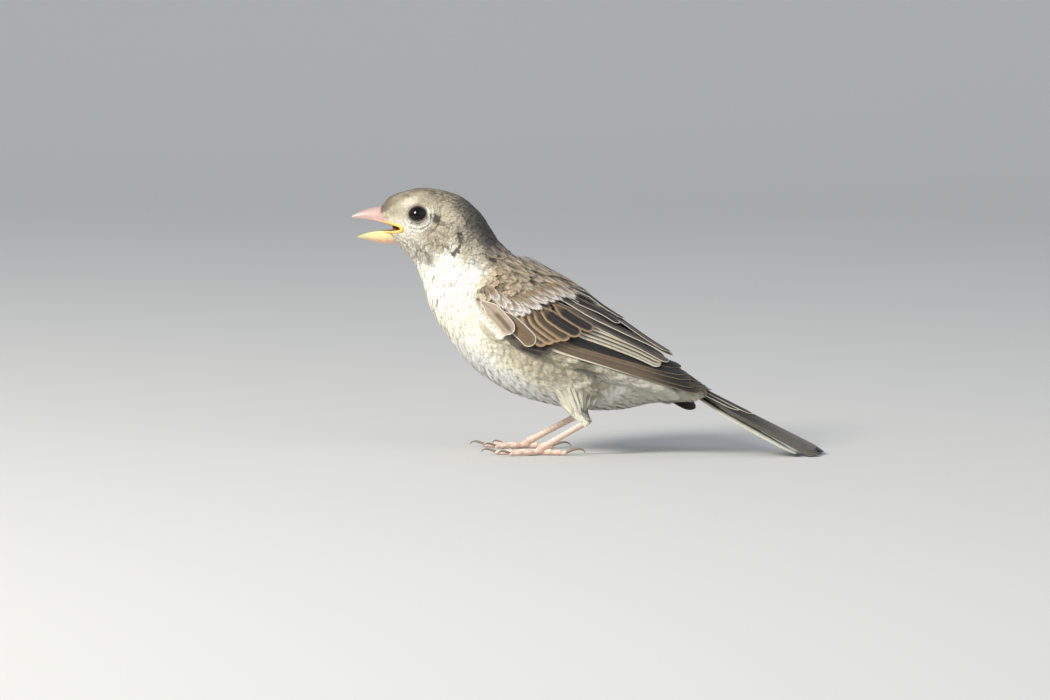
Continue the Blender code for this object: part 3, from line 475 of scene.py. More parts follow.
def eye_place():
    """The centre of the left eyeball and the way that it looks, before the head is turned."""
    t, angle = BODY.locate([(EYE_X, EYE_Z)])
    normal = BODY.normals(t, angle)[0]
    return BODY.points(t, angle)[0] + normal * (EYE_STAND_OUT - EYE_RADIUS), normal


def frame_shift():
    """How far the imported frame's origin lies from the bird's own, in millimetres, read from the left eye."""
    low, high = (np.array(corner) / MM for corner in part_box("eye_left"))
    shift = pose(eye_place()[0]) - (low + high) / 2
    return np.array([shift[0], shift[1], 0.0])


SHIFT = frame_shift()


def thigh_limb(side):
    """The flesh of a thigh under its feathers."""
    return Limb([FEET[side][key] for key in ("hip", "knee", "ankle")], [r - THIGH_COAT for r in THIGH_RADII])


def grid_faces(rows, columns, wrap=False):
    """Quads of a grid of points, numbered row by row; wrap joins the last column to the first."""
    index = np.arange(rows * columns).reshape(rows, columns)
    if wrap:
        index = np.hstack([index, index[:, :1]])
    return np.stack([index[:-1, :-1], index[1:, :-1], index[1:, 1:], index[:-1, 1:]], axis=-1).reshape(-1, 4)


def flat_rows(value):
    """The same values with one row for each point; single numbers stay as they are."""
    return value if np.ndim(value) == 1 else np.reshape(value, (-1, np.shape(value)[-1]))


def make_mesh(name, points, faces, finish, values=None, maps=None):
    """A mesh object from points in millimetres and lists of face arrays, all written as whole arrays.

    values holds arrays for each point, one number or a colour; maps holds UV places for each point.
    """
    mesh = bpy.data.meshes.new(name)
    points = (flat_rows(points) - SHIFT) * MM
    sizes = np.concatenate([np.full(len(rows), rows.shape[1]) for rows in faces])
    corners = np.concatenate([rows.ravel() for rows in faces])
    mesh.vertices.add(len(points))
    mesh.vertices.foreach_set("co", points.astype(np.float32).ravel())
    mesh.loops.add(len(corners))
    mesh.loops.foreach_set("vertex_index", corners.astype(np.int32))
    mesh.polygons.add(len(sizes))
    mesh.polygons.foreach_set("loop_start", (np.cumsum(sizes) - sizes).astype(np.int32))
    mesh.polygons.foreach_set("use_smooth", np.ones(len(sizes), bool))
    mesh.update(calc_edges=True)
    for label, value in (values or {}).items():
        value = flat_rows(value).astype(np.float32)
        if value.ndim == 1:
            mesh.attributes.new(label, "FLOAT", "POINT").data.foreach_set("value", value)
        else:
            opaque = np.hstack([value, np.ones((len(value), 1), np.float32)])
            mesh.attributes.new(label, "FLOAT_COLOR", "POINT").data.foreach_set("color", opaque.ravel())
    for label, place in (maps or {}).items():
        layer = mesh.uv_layers.new(name=label)
        layer.uv.foreach_set("vector", np.asarray(place, np.float32)[corners].ravel())
    mesh.materials.append(finish)
    made = bpy.data.objects.new(name, mesh)
    bpy.context.scene.collection.objects.link(made)
    return made


def show(piece, slot, *nodes):
    """Hangs a finished piece on the body and hides the solids that it stands for; slot is not used."""
    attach(piece, "root")
    if nodes:
        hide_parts(*nodes)


class Pile:
    """Parts of one mesh, gathered before it is made."""

    def __init__(self):
        self.points, self.faces, self.values, self.maps, self.count = [], {3: [], 4: []}, {}, {}, 0

    def add(self, points, faces, values, maps=None):
        points = flat_rows(points)
        for rows in faces:
            self.faces[rows.shape[1]].append(rows + self.count)
        for held, given in ((self.values, values), (self.maps, maps or {})):
            for name, value in given.items():
                held.setdefault(name, []).append(flat_rows(value))
        self.points.append(points)
        self.count += len(points)

    def make(self, name, finish):
        faces = [np.concatenate(rows) for rows in self.faces.values() if rows]
        values, maps = (
            {key: np.concatenate(value) for key, value in held.items()} for held in (self.values, self.maps)
        )
        return make_mesh(name, np.concatenate(self.points), faces, finish, values, maps)


class Nodes:
    """A short way to add nodes to a tree and join them."""

    def __init__(self, tree):
        self.tree = tree

    def feed(self, socket, value):
        """Links a socket to another one, or sets its value."""
        if isinstance(value, bpy.types.NodeSocket):
            self.tree.links.new(value, socket)
        else:
            socket.default_value = value

    def add(self, kind, inputs=None, **settings):
        node = self.tree.nodes.new(kind)
        for name, value in settings.items():
            setattr(node, name, value)
        for name, value in (inputs or {}).items():
            self.feed(node.inputs[name], value)
        return node

    def maths(self, operation, a, b):
        return self.add("ShaderNodeMath", {0: a, 1: b}, operation=operation).outputs[0]

    def plus(self, a, b):
        return self.maths("ADD", a, b)

    def minus(self, a, b):
        return self.maths("SUBTRACT", a, b)

    def times(self, a, b):
        return self.maths("MULTIPLY", a, b)

    def noise(self, place, scale, detail, roughness=0.5):
        """Noise between 0 and 1 at a place."""
        inputs = {"Vector": place, "Scale": scale, "Detail": detail, "Roughness": roughness}
        return self.add("ShaderNodeTexNoise", inputs).outputs[0]

    def lit(self, colour, sway):
        """A colour times 1 + 2 sway."""
        light = self.plus(self.times(sway, 2.0), 1.0)
        return self.add("ShaderNodeVectorMath", {0: colour, "Scale": light}, operation="SCALE").outputs[0]

    def mix(self, share, a, b):
        return self.add("ShaderNodeMix", {0: share, 6: a, 7: b}, data_type="RGBA").outputs[2]

    def fall(self, value, low, high):
        """1 at low and 0 at high, held and smooth."""
        inputs = {"Value": value, "From Min": low, "From Max": high}
        node = self.add("ShaderNodeMapRange", inputs, interpolation_type="SMOOTHSTEP")
        return self.minus(1.0, node.outputs["Result"])

    def point_value(self, name, kind):
        return self.add("ShaderNodeAttribute", attribute_name=name).outputs[kind]


def four(value):
    """A colour as the four numbers of a socket."""
    return (*[float(part) for part in value], 1.0)


def node_group(name, inputs, outputs):
    """An empty shader group with its sockets, and the nodes that carry them."""
    tree = bpy.data.node_groups.new(name, "ShaderNodeTree")
    for label, kind, value in inputs:
        socket = tree.interface.new_socket(name=label, in_out="INPUT", socket_type=kind)
        if value is not None:
            socket.default_value = value
    for label, kind in outputs:
        tree.interface.new_socket(name=label, in_out="OUTPUT", socket_type=kind)
    build = Nodes(tree)
    return tree, build, build.add("NodeGroupInput").outputs, build.add("NodeGroupOutput").inputs


def fibre_group():
    """Fine uneven light and dark over a colour, as loose barbs give it."""
    tree, build, given, out = node_group(
        "fibre grain",
        [("Colour", "NodeSocketColor", (0.5, 0.5, 0.5, 1.0)), ("Grain size", "NodeSocketFloat", 2600.0),
         ("Strength", "NodeSocketFloat", 0.2)],
        [("Colour", "NodeSocketColor"), ("Height", "NodeSocketFloat")],
    )
    place = build.add("ShaderNodeTexCoord").outputs["Object"]
    fine = build.noise(place, given["Grain size"], 2.0)
    both = build.plus(build.times(fine, 0.6), build.times(build.noise(place, 260.0, 1.0), 0.4))
    sway = build.times(build.minus(both, 0.5), given["Strength"])
    build.feed(out["Colour"], build.lit(given["Colour"], sway))
    build.feed(out["Height"], fine)
    return tree


def barb_group():
    """The vane of a flight feather: a shaft, close barbs that slant from it, and a frayed rim round it.

    The map Vane holds millimetres across and along. A barb is a line of equal along minus across, and the
    noise along such lines gives their colour and height.
    """
    tree, build, given, out = node_group(
        "feather vane",
        [("Middle", "NodeSocketColor", (0.1, 0.1, 0.1, 1.0)),
         ("Rim", "NodeSocketColor", (0.5, 0.5, 0.5, 1.0)),
         ("Shaft", "NodeSocketColor", (0.1, 0.08, 0.05, 1.0)), ("Edge distance", "NodeSocketFloat", 1.0),
         ("Rim width", "NodeSocketFloat", 0.5), ("Barb strength", "NodeSocketFloat", 0.25)],
        [("Colour", "NodeSocketColor"), ("Height", "NodeSocketFloat")],
    )
    place = build.add("ShaderNodeUVMap", uv_map="Vane").outputs[0]
    split = build.add("ShaderNodeSeparateXYZ", {0: place}).outputs
    across = build.maths("ABSOLUTE", split[0], 0.0)
    slant = build.minus(split[1], build.times(across, 1.15))
    line = build.add("ShaderNodeCombineXYZ", {"X": build.times(slant, 5.2), "Y": build.times(across, 0.5)})
    barbs = build.noise(line.outputs[0], 1.0, 3.0, 0.7)
    wander = build.times(build.minus(barbs, 0.5), given["Rim width"])
    near = build.plus(given["Edge distance"], build.times(wander, 1.1))
    rim = build.fall(near, *(build.times(given["Rim width"], share) for share in (0.25, 1.2)))
    shaft = build.fall(across, 0.06, 0.14)
    body = build.mix(rim, given["Middle"], given["Rim"])
    body = build.mix(build.times(shaft, 0.5), body, given["Shaft"])
    light = build.plus(barbs, build.times(build.noise(place, 0.55, 2.0), 0.8))
    build.feed(out["Colour"], build.lit(body, build.times(build.minus(light, 0.9), given["Barb strength"])))
    build.feed(out["Height"], build.plus(build.times(barbs, 0.6), shaft))
    return tree


def finish_base(name, roughness, **constants):
    """A new material, its node helper and its shader, with the constant sockets set."""
    made = bpy.data.materials.new(name)
    made.use_nodes = True
    shader = made.node_tree.nodes["Principled BSDF"]
    for label, value in {"Roughness": roughness, **constants}.items():
        shader.inputs[label].default_value = value
    return made, Nodes(made.node_tree), shader


def finish_from(build, shader, group, strength, distance):
    """Gives a shader the colour of a group, and its height as a bump."""
    build.feed(shader.inputs["Base Color"], group.outputs["Colour"])
    bump = {"Height": group.outputs["Height"], "Strength": strength, "Distance": distance}
    build.feed(shader.inputs["Normal"], build.add("ShaderNodeBump", bump).outputs[0])


def grained(name, source, roughness, grain, strength, bump, **constants):
    """A finish whose colour comes from the named point colours, with fibre or pore grain over it."""
    made, build, shader = finish_base(name, roughness, **constants)
    inputs = {"Colour": build.point_value(source, "Color"), "Grain size": grain, "Strength": strength}
    tree = bpy.data.node_groups.get("fibre grain") or fibre_group()
    finish_from(build, shader, build.add("ShaderNodeGroup", inputs, node_tree=tree), bump, 0.0002)
    return made


def plumage_finish():
    """The one finish of all small feathers."""
    name, sheen = "small feathers", {"Sheen Weight": 0.12, "Sheen Roughness": 0.5}
    found = bpy.data.materials.get(name)
    return found or grained(name, "plumage", 0.78, 2600.0, 0.28, 0.15, **sheen)


def vane_finish():
    """The one finish of all wing and tail vanes."""
    found = bpy.data.materials.get("feather vanes")
    if found:
        return found
    made, build, shader = finish_base("feather vanes", 0.62, **{"Sheen Weight": 0.06})
    inputs = {
        "Middle": build.point_value("middle", "Color"), "Rim": build.point_value("rim", "Color"),
        "Edge distance": build.point_value("edge", "Fac"), "Rim width": build.point_value("rim_width", "Fac"),
        "Shaft": four(palette("sparrow_vanes")["shaft"]), "Barb strength": 0.3,
    }
    finish_from(build, shader, build.add("ShaderNodeGroup", inputs, node_tree=barb_group()), 0.35, 0.00012)
    return made


SIDE_ON = 3.0  # places of the head further out than this are on one of its sides


def patch(xz, middle, radii, tilt=0.0, soft=0.35):
    """1 inside a tilted oval seen from the side, falling smoothly to 0 at its rim."""
    x, z = xz[..., 0] - middle[0], xz[..., 1] - middle[1]
    cos, sin = math.cos(math.radians(tilt)), math.sin(math.radians(tilt))
    away = np.hypot((x * cos + z * sin) / radii[0], (z * cos - x * sin) / radii[1])
    return ramp(away, 1.0 + soft, -2 * soft)


def stroke(xz, line, width, soft=0.5):
    """1 along a line of places seen from the side, falling to 0 at width from it."""
    line = np.asarray(line, float)
    best = np.full(xz.shape[:-1], 1e9)
    for start, end in zip(line[:-1], line[1:], strict=True):
        run = end - start
        share = np.clip(((xz - start) @ run) / (run @ run), 0.0, 1.0)
        best = np.minimum(best, np.linalg.norm(xz - start - share[..., None] * run, axis=-1))
    return ramp(best, width * (1 + soft), -2 * soft * width)


def speckle(points, size, seed):
    """Smooth random light and dark between 0 and 1, a sum of waves in fixed random directions."""
    chance = np.random.default_rng(seed)
    ways = unit(chance.normal(size=(9, 3)))
    phase = chance.uniform(0.0, 2 * math.pi, 9)
    pace = 2 * math.pi / size * chance.uniform(0.6, 1.5, 9)
    return 0.5 + 0.5 * np.tanh(np.sin(points @ ways.T * pace + phase).sum(-1) / 2.4)


# Marks seen from the side, each laid over the ones before it: colour, middle x and z, radii, tilt in degrees,
# strength, and how far fine speckles break it up
MARKS = (
    ("flank", -3.0, 28.0, 24.0, 10.5, -26, 0.95, 0.15),
    ("flank", -20.0, 33.0, 9.0, 5.0, -40, 0.45, 0.3),
    ("shade", 4.6, 23.6, 5.2, 2.6, -22, 0.8, 0.25),
    ("breast", -5.5, 20.3, 7.0, 1.7, 12, 0.8, 0.25),
    ("shade", 3.2, 18.8, 4.4, 1.7, -60, 0.7, 0.4),
    # Painted shade in part: the hind neck in the nape's dark grey
    ("nape", -29.8, 55.6, 5.5, 3.0, -35, 0.5, 0.7),
    ("mark", -40.6, 50.0, 1.4, 0.8, -20, 0.45, 1.0),
    ("mark", -37.6, 49.6, 1.0, 0.6, -20, 0.4, 1.0),
)

HEAD_MARKS = (
    ("cheek", -48.5, 60.5, 8.0, 5.5, -20, 0.9, 0.2),
    ("mark", -49.5, 58.9, 5.6, 3.0, -35, 0.42, 0.9),
    ("mark", -46.6, 57.0, 3.4, 1.3, -25, 0.5, 0.4),
    ("ear", -42.2, 62.4, 5.6, 4.0, -12, 0.95, 0.1),
    ("mark", -42.0, 60.2, 3.6, 0.7, -14, 0.5, 0.4),
    ("mark", -43.0, 63.6, 3.4, 0.6, -14, 0.3, 0.6),
    ("breast", -50.6, 71.7, 3.0, 1.1, 18, 0.42, 0.1),
    ("breast", -45.4, 69.5, 1.3, 0.8, -38, 0.75, 0.0),
    ("brow", -54.0, 68.4, 2.4, 3.2, 0, 0.6, 0.2),
    ("crown", -55.2, 70.4, 1.6, 2.4, 20, 0.7, 0.4),
    ("mark", -43.4, 67.4, 2.1, 1.2, -25, 0.9, 0.0),
    ("mark", -39.8, 66.0, 3.2, 0.7, -12, 0.5, 0.5),
    ("throat", -38.4, 60.9, 0.8, 2.0, 10, 0.55, 0.2),
    # Painted shade in part: the nape's dark grey behind the ear
    ("nape", -34.6, 64.0, 2.6, 5.0, 25, 0.7, 0.6),
)

# Lines of places seen from the side: the brow, the dark side of the nape, partly painted shade, and the ear's
# rear rim
BROW_LINE = ((-46.5, 72.6), (-41.5, 70.8), (-37.8, 67.6))
NAPE_LINE = ((-34.6, 72.8), (-31.4, 69.2), (-28.2, 64.8), (-24.8, 60.4))
EAR_LINE = ((-35.8, 63.1), (-35.8, 60.9), (-36.4, 59.3), (-37.8, 58.2))


def markings(points, t, angle, colours):
    """The bird's colours over its body, and how strong and how dark the middle streak of each feather is.

    The breast's colour is laid over in turn by parts of the form, by oval marks and strokes seen from the
    side, by bars on the flank, and round the eye by rings that wax and wane with the distance from it.
    """
    xz = points[..., [0, 2]]
    x, z = xz[..., 0], xz[..., 1]
    up = np.sin(angle)
    broken, fine = speckle(points, 4.0, 3), speckle(points, 1.1, 5)
    base = evenly(colours["breast"], points)

    def lay(name, mask, dots=0.0):
        nonlocal base
        dotted = 1.0 - dots + dots * ramp(fine, 0.35, 0.4)
        base = blend(base, colours[name], np.clip(mask * dotted, 0.0, 1.0))

    def lay_marks(marks, share=1.0):
        for name, middle_x, middle_z, wide, high, tilt, strength, dots in marks:
            lay(name, patch(xz, (middle_x, middle_z), (wide, high), tilt) * strength * share, dots)

    lay("throat", ramp(t, 9.4, -1.6) * 0.8)
    lay("belly", ramp(-up, 0.35, 0.4) * ramp(t, 8.5, 2.5))
    lay_marks(MARKS)
    level = z + 0.22 * x + 0.9 * broken
    bars = ramp(np.sin(level * 2 * math.pi / 1.9), 0.2, 0.6) * patch(xz, (-8.0, 27.5), (14.0, 6.5), -25.0)
    lay("flank_bar", bars * (0.15 + 0.4 * speckle(points * (0.5, 1.0, 1.0), 2.4, 12)))
    lay("belly", ramp(-up, 0.62, 0.3) * ramp(t, 9.5, 2.0))
    lay("undertail", ramp(t, 14.4, 1.4) * ramp(up, 0.45, -0.3) * 0.95)
    lay("belly", patch(xz, (8.2, 17.6), (5.6, 2.1), 36.0) * 0.95, 0.55)
    back = ramp(up, 0.42, 0.28) * ramp(t, 6.9, 0.8)
    lay("mantle", back * ramp(t, 15.4, -2.0))
    lay("rump", ramp(t, 13.4, 2.0) * ramp(up, 0.1, 0.4))
    head = ramp(t, 7.6, -0.7)
    lay("brow", head * ramp(up, 0.02, 0.3) * 0.85)
    crown = head * ramp(up, 0.55, 0.2)
    lay("crown", crown * 0.9)
    lay("mark", crown * 0.55 * ramp(speckle(points * (0.45, 1.0, 1.0), 1.5, 21), 0.45, 0.3))
    lay_marks(HEAD_MARKS, head)
    lay("brow", stroke(xz, BROW_LINE, 1.9) * 0.6)
    # The dark side of the nape and the back of the head, partly painted shade
    lay("nape", stroke(xz, NAPE_LINE, 2.9, 0.8) * (0.8 + 0.2 * broken))
    lay("nape", ramp(up, 0.6, 0.35) * ramp(t, 4.8, 1.2) * ramp(t, 8.6, -1.2) * 0.8)
    lay("mark", stroke(xz, EAR_LINE, 0.55) * 0.9)
    away = np.hypot(x - EYE_X, z - EYE_Z) + 0.5 * (broken - 0.5)
    below = smoothstep((EYE_Z + 1.2 - z + 0.5 * (x - EYE_X)) / 2.4) * (np.abs(points[..., 1]) > SIDE_ON)
    ring = 0.5 + 0.5 * np.cos((away - 3.9) * 2 * math.pi / 1.15)
    near = ramp(away, 2.2, 0.3) * ramp(away, 5.4, -1.2)
    lay("throat", below * near * (1 - ring) * 0.75)
    lay("mark", below * near * ring**2 * 0.65, 0.3)
    dots = ramp(fine, 0.35, 0.5)
    streak = np.maximum.reduce([
        back * ramp(t, 14.5, -2.0),
        patch(xz, (-2.0, 21.0), (17.0, 7.0), -28.0) * 0.35 * dots,
        crown * dots * 0.8,
        head * patch(xz, (-42.0, 62.0), (6.0, 5.0)) * dots * 0.35,
        0.6 * ramp(t, 14.0, 1.5) * ramp(up, -0.1, 0.3),
    ])
    soft = ramp(t, 8.5, 1.5) * ramp(up, 0.45, -0.1)
    return base, streak, blend(evenly(colours["mark"], points), colours["rump"] * 1.1, soft)


def raised(form, places, lift):
    """Roots, middles and tips of feathers over three places each, and the form's normals at both ends."""
    lift = np.broadcast_to(lift, (len(places[0][0]), 2))
    rises = (lift[:, 0], lift.mean(1) + 0.12 * lift[:, 1], lift[:, 1])
    normals = [form.normals(*place) for place in places]
    spots = [
        form.points(*place) + rise[:, None] * normal
        for place, rise, normal in zip(places, rises, normals, strict=True)
    ]
    return np.stack(spots, 1), np.stack([normals[0], normals[2]], 1)


def grown(form, s, angle, heading, long, lift, chance, stray=0.07):
    """Feathers that run over a form from their roots, each a little off its heading and length."""
    count = len(s)
    long = long * chance.uniform(0.85, 1.15, count)
    heading = heading + chance.normal(0.0, stray, count)
    along, around = form.steps(s, angle)
    move_s = long * np.cos(heading) / np.maximum(np.linalg.norm(along, axis=1), 0.5)
    move_a = np.clip(long * np.sin(heading) / np.maximum(np.linalg.norm(around, axis=1), 0.5), -1.2, 1.2)
    lift = np.broadcast_to(lift, (count, 2)) * chance.uniform(0.85, 1.15, (count, 1))
    return raised(form, [(s + k * move_s, angle + k * move_a) for k in (0.0, 0.5, 1.0)], lift)


def drawn(form, roots, tips, lift, side):
    """Feathers from root to tip, both given as places seen from the side, on one side of a form."""
    laid = raised(form, [form.locate(roots * (1 - k) + tips * k) for k in (0.0, 0.5, 1.0)], lift)
    return [on_side(part, side) for part in laid]


TIP_START, TIP_LONG = 0.56, 0.44  # where the half oval round a feather's tip begins, and its length
BARB_POINTS = 5  # corners of a barb: two at its root, two at its middle and its tip


class Feathers:
    """Small loose feathers as fans of barbs, all worked out at once.

    Each feather's middle line is the parabola through its root, middle and tip. Its barbs leave that line
    and end on an outline that is half an oval round the tip.
    """

    def __init__(self, laid, wide, barbs, chance, fluff=1.0):
        self.spots, self.ways = laid
        count = len(self.spots)
        long = np.linalg.norm(self.spots[:, 2] - self.spots[:, 0], axis=1)
        self.wide = wide = wide / 2 * chance.uniform(0.88, 1.12, count)
        turn = np.linspace(-2.05, 2.05, barbs)[None] + chance.normal(0.0, 0.04, (count, barbs))
        reach = 1.0 + chance.normal(0.0, 0.035 * fluff, (count, barbs))
        end_u, end_c = TIP_START + TIP_LONG * np.cos(turn) * reach, np.sin(turn) * reach
        start_u = np.clip(end_u - 0.4 + 0.06 * np.abs(end_c), 0.0, 0.66)
        mid_u = start_u * 0.42 + end_u * 0.58 - 0.05 * np.abs(end_c)
        mid_c = end_c * 0.66
        step = 3.0 * (wide[:, None] + 0.3 * long[:, None]) / barbs
        thick = step * chance.uniform(0.8, 1.2, (count, barbs))
        run_u, run_c = (end_u - start_u) * long[:, None], end_c * wide[:, None]
        size = np.hypot(run_u, run_c)
        off_u = -run_c / size * thick / 2 / long[:, None]
        off_c = run_u / size * thick / 2 / wide[:, None]
        u = (start_u + off_u * 0.5, start_u - off_u * 0.5, mid_u - off_u, mid_u + off_u, end_u)
        c = (off_c * -0.5, off_c * 0.5, mid_c + off_c, mid_c - off_c, end_c)
        self.u, self.c = (np.stack(part, axis=-1).reshape(count, -1) for part in (u, c))
        rise = np.zeros((count, barbs, BARB_POINTS))
        rise[..., 2:4] = chance.normal(0.0, 0.012 * fluff, (count, barbs, 1)) * long[:, None, None] / 4
        rise[..., 4] = chance.normal(0.0, 0.02 * fluff, (count, barbs)) * long[:, None] / 4
        self.rise = rise.reshape(count, -1)
        self.barb_light = np.repeat(chance.normal(0.0, 1.0, (count, barbs)), BARB_POINTS, axis=1)
        self.feather_light = chance.normal(0.0, 1.0, count)

    def points(self):
        """Every corner: along the middle line, then across it, then out from the form."""
        u, c = self.u[..., None], self.c[..., None]
        a, b, d = (self.spots[:, None, i] for i in range(3))
        line = a * (1 - u) * (1 - 2 * u) + b * 4 * u * (1 - u) + d * u * (2 * u - 1)
        way = a * (4 * u - 3) + b * (4 - 8 * u) + d * (4 * u - 1)
        normal = unit(self.ways[:, None, 0] * (1 - u) + self.ways[:, None, 1] * u)
        side = unit(np.cross(way, normal))
        sag = (self.c * self.wide[:, None]) ** 2 * 0.028
        return line + side * c * self.wide[:, None, None] + normal * (self.rise - sag)[..., None]

    def tint(self, base, streak, colours, dark=None, edge=0.0, edge_colour=None, width=0.34, tip=0.28,
             down=0.2, root=0.3):
        """Colour of every corner: downy root, plain web, dark middle that widens to the tip, paler rim."""
        u, c = self.u, self.c
        light = 1.0 + 0.04 * self.barb_light + 0.04 * self.feather_light[:, None]
        tone = base[:, None] * np.clip(light, 0.6, 1.4)[..., None]
        reach = width * (0.5 + 0.7 * u)
        middle = streak[:, None] * smoothstep((reach * 1.6 - np.abs(c)) / reach) * ramp(u, 0.05, 0.3)
        dark = np.broadcast_to(colours["mark"] if dark is None else dark, base.shape)
        tone = blend(tone, dark[:, None], middle * ramp(u, 1.04, -0.12))
        rim = smoothstep((np.hypot((u - TIP_START) / TIP_LONG, c) - 1.0 + tip) / tip) * ramp(u, 0.4, 0.2)
        pale = tone * 1.18 + 0.02 if edge_colour is None else edge_colour
        tone = blend(tone, pale, rim * edge)
        return np.clip(blend(tone, colours["down"], ramp(u, root, -0.3) * down), 0.0, 1.0)

    def put(self, pile, tone, root_u, root_v, turn=None):
        """Adds the feathers to a pile in their colours; turn moves their points, as pose does.

        Each feather has a patch 0.003 across in the bake map, at its root's place on the unwrap.
        """
        points = self.points() if turn is None else turn(self.points())
        first = np.arange(self.rise.size // BARB_POINTS)[:, None] * BARB_POINTS
        spread = np.stack([0.0015 * self.c, 0.003 * (self.u - 0.5)], axis=-1)
        places = np.stack([root_u, root_v], axis=-1)[:, None] + spread
        faces = [first + np.array([[0, 1, 2, 3]]), first + np.array([[3, 2, 4]])]
        pile.add(points, faces, {"plumage": tone}, {"OFBake": places})

    def put_on_body(self, pile, tone, t, angle):
        """Adds feathers that are rooted in the body's skin."""
        self.put(pile, tone, *body_unwrap(t, angle), pose)


def body_unwrap(t, angle):
    """The skin's own unwrap: its length across the map, and its girth up it."""
    return 0.02 + 0.84 * t / BODY.last, 0.02 + 0.96 * np.mod(angle / (2 * math.pi) + 0.25, 1.0)


def rooted(surface, start, end, step, seed, low=-math.pi, high=math.pi):
    """Even places for roots: rows along the form, each with its own count round it, jittered and thinned."""
    chance = np.random.default_rng(seed)
    probe_s = np.linspace(start, end, 120)
    probe_a = np.linspace(low, high, 64)
    pace_s, pace_a = (
        np.linalg.norm(way, axis=-1)
        for way in surface.steps(*np.broadcast_arrays(probe_s[:, None], probe_a[None]))
    )
    fastest = pace_s.max(axis=1)
    travelled = np.concatenate([[0.0], np.cumsum((fastest[1:] + fastest[:-1]) / 2 * np.diff(probe_s))])
    rows = np.interp(np.arange(0.0, travelled[-1], step), travelled, probe_s)
    found_s, found_a = [], []
    for row, at in enumerate(rows):
        i = int(np.argmin(np.abs(probe_s - at)))
        girth = np.concatenate([[0.0], np.cumsum((pace_a[i, 1:] + pace_a[i, :-1]) / 2 * np.diff(probe_a))])
        count = max(3, int(girth[-1] / step))
        spread = np.arange(count) + 0.5 * (row % 2) + chance.uniform(-0.3, 0.3, count)
        angles = np.interp(np.mod(spread / count * girth[-1], girth[-1]), girth, probe_a)
        local = np.interp(angles, probe_a, pace_s[i]) / fastest[i]
        keep = chance.uniform(0.0, 1.0, count) < local * 1.05
        found_a.append(angles[keep])
        found_s.append(at + chance.uniform(-0.35, 0.35, int(keep.sum())) * step / fastest[i])
    return np.concatenate(found_s), np.concatenate(found_a)


# How deep the skin lies under the outline of the coat at some of the body's sections
DEPTH_SECTIONS = (0.0, 1.5, 3.0, 6.0, 8.0, 10.0, 17.0, 18.0, 19.0)
DEPTHS = (0.18, 0.32, 0.6, 0.8, 1.2, 1.5, 2.2, 3.3, 1.95)


def coat_depth(t):
    """How deep the skin lies under the outline of the coat."""
    return np.interp(t, DEPTH_SECTIONS, DEPTHS)


def mouth_gap(points):
    """1 inside the open wedge ahead of the mouth's corners."""
    ahead = MOUTH_CORNER[0] - points[..., 0]
    off = np.abs(points[..., 2] - MOUTH_CORNER[1] - 0.02 * ahead)
    return smoothstep(ahead / 0.5 + 0.3) * smoothstep((MOUTH_OPENING * ahead + 0.35 - off) / 0.5)


def skin_parts(colours, bare):
    """The body's skin under the coat, a closed surface drawn in at the mouth, with the thighs on it."""
    rows, columns = 9 * BODY.last + 1, 120
    t, angle = round_grid(BODY.last, rows, columns)
    points = BODY.points(t, angle, -coat_depth(t))
    tone, _, _ = markings(points, t, angle, colours)
    gap = mouth_gap(points)
    tone = blend(tone * 0.85, bare["mouth"], gap)
    points = pose(points + np.stack([3.0 * gap, -points[..., 1] * 0.5 * gap, np.zeros_like(gap)], axis=-1))
    pile = Pile()
    where = np.stack(body_unwrap(t, angle), axis=-1)
    pile.add(points, [grid_faces(rows, columns, wrap=True)], {"plumage": tone}, {"OFBake": where})
    index = np.arange(columns)
    fan = np.stack([np.zeros(columns, int), 1 + index, 1 + np.roll(index, -1)], axis=-1)
    for row, flip in ((0, 1), (rows - 1, -1)):
        disc = np.vstack([points[row].mean(0), points[row]])
        shade = evenly(bare["mouth"] if row == 0 else tone[row].mean(0), disc)
        where = np.vstack([[0.0, 0.0], np.stack([np.cos(angle[row]), np.sin(angle[row])], -1)])
        pile.add(disc, [fan[:, ::flip]], {"plumage": shade}, {"OFBake": 0.9 + 0.02 * where})
    for side in SIDE_NAMES:
        s, turn = (np.vstack([grid, grid[-1:]]) for grid in round_grid(1.0, 24, 32))
        flesh = thigh_limb(side).points(s, turn)
        flesh[-1] = flesh[-1].mean(0)
        shade = evenly(colours["belly"] * 0.7, flesh)
        where = np.stack([0.9 + 0.04 * (side > 0) + 0.03 * s, 0.1 + 0.5 * turn / 6.3], -1)
        pile.add(flesh, [grid_faces(*s.shape, wrap=True)], {"plumage": shade}, {"OFBake": where})
    return pile


# Zones of the coat: piece, first and last section, spacing, then length and width as shares of the head's
# or the body's feather, and barbs
HEAD_ZONES = (
    ("face", 0.15, 1.5, 0.44, 0.6, 0.26, 15),
    ("brow", 1.5, 3.2, 0.58, 0.9, 0.40, 21),
    ("crown", 3.2, 5.2, 0.72, 1.25, 0.5, 27),
    ("nape", 5.2, 6.9, 0.84, 1.5, 0.58, 30),
)
BODY_ZONES = (
    ("neck", 6.9, 9.0, 1.0, 0.78, 0.3, 36),
    ("breast", 9.0, 11.6, 1.25, 1.0, 0.42, 44),
    ("belly", 11.6, 14.6, 1.4, 1.05, 0.44, 46),
    ("vent", 14.6, 17.5, 1.25, 0.84, 0.36, 40),
)
MANTLE_FIRST, MANTLE_LAST = 6.9, 15.0  # sections of the form between which the streaked back lies


# Starting numbers of the random draws; zones, sides and second draws add to them
SEEDS = {
    "head": 20, "body": 40, "fringe": 17, "mantle": 33, "eye_rings": 60, "thighs": 70, "vanes": 11,
    "wing_coat": 90, "tail": 5,
}


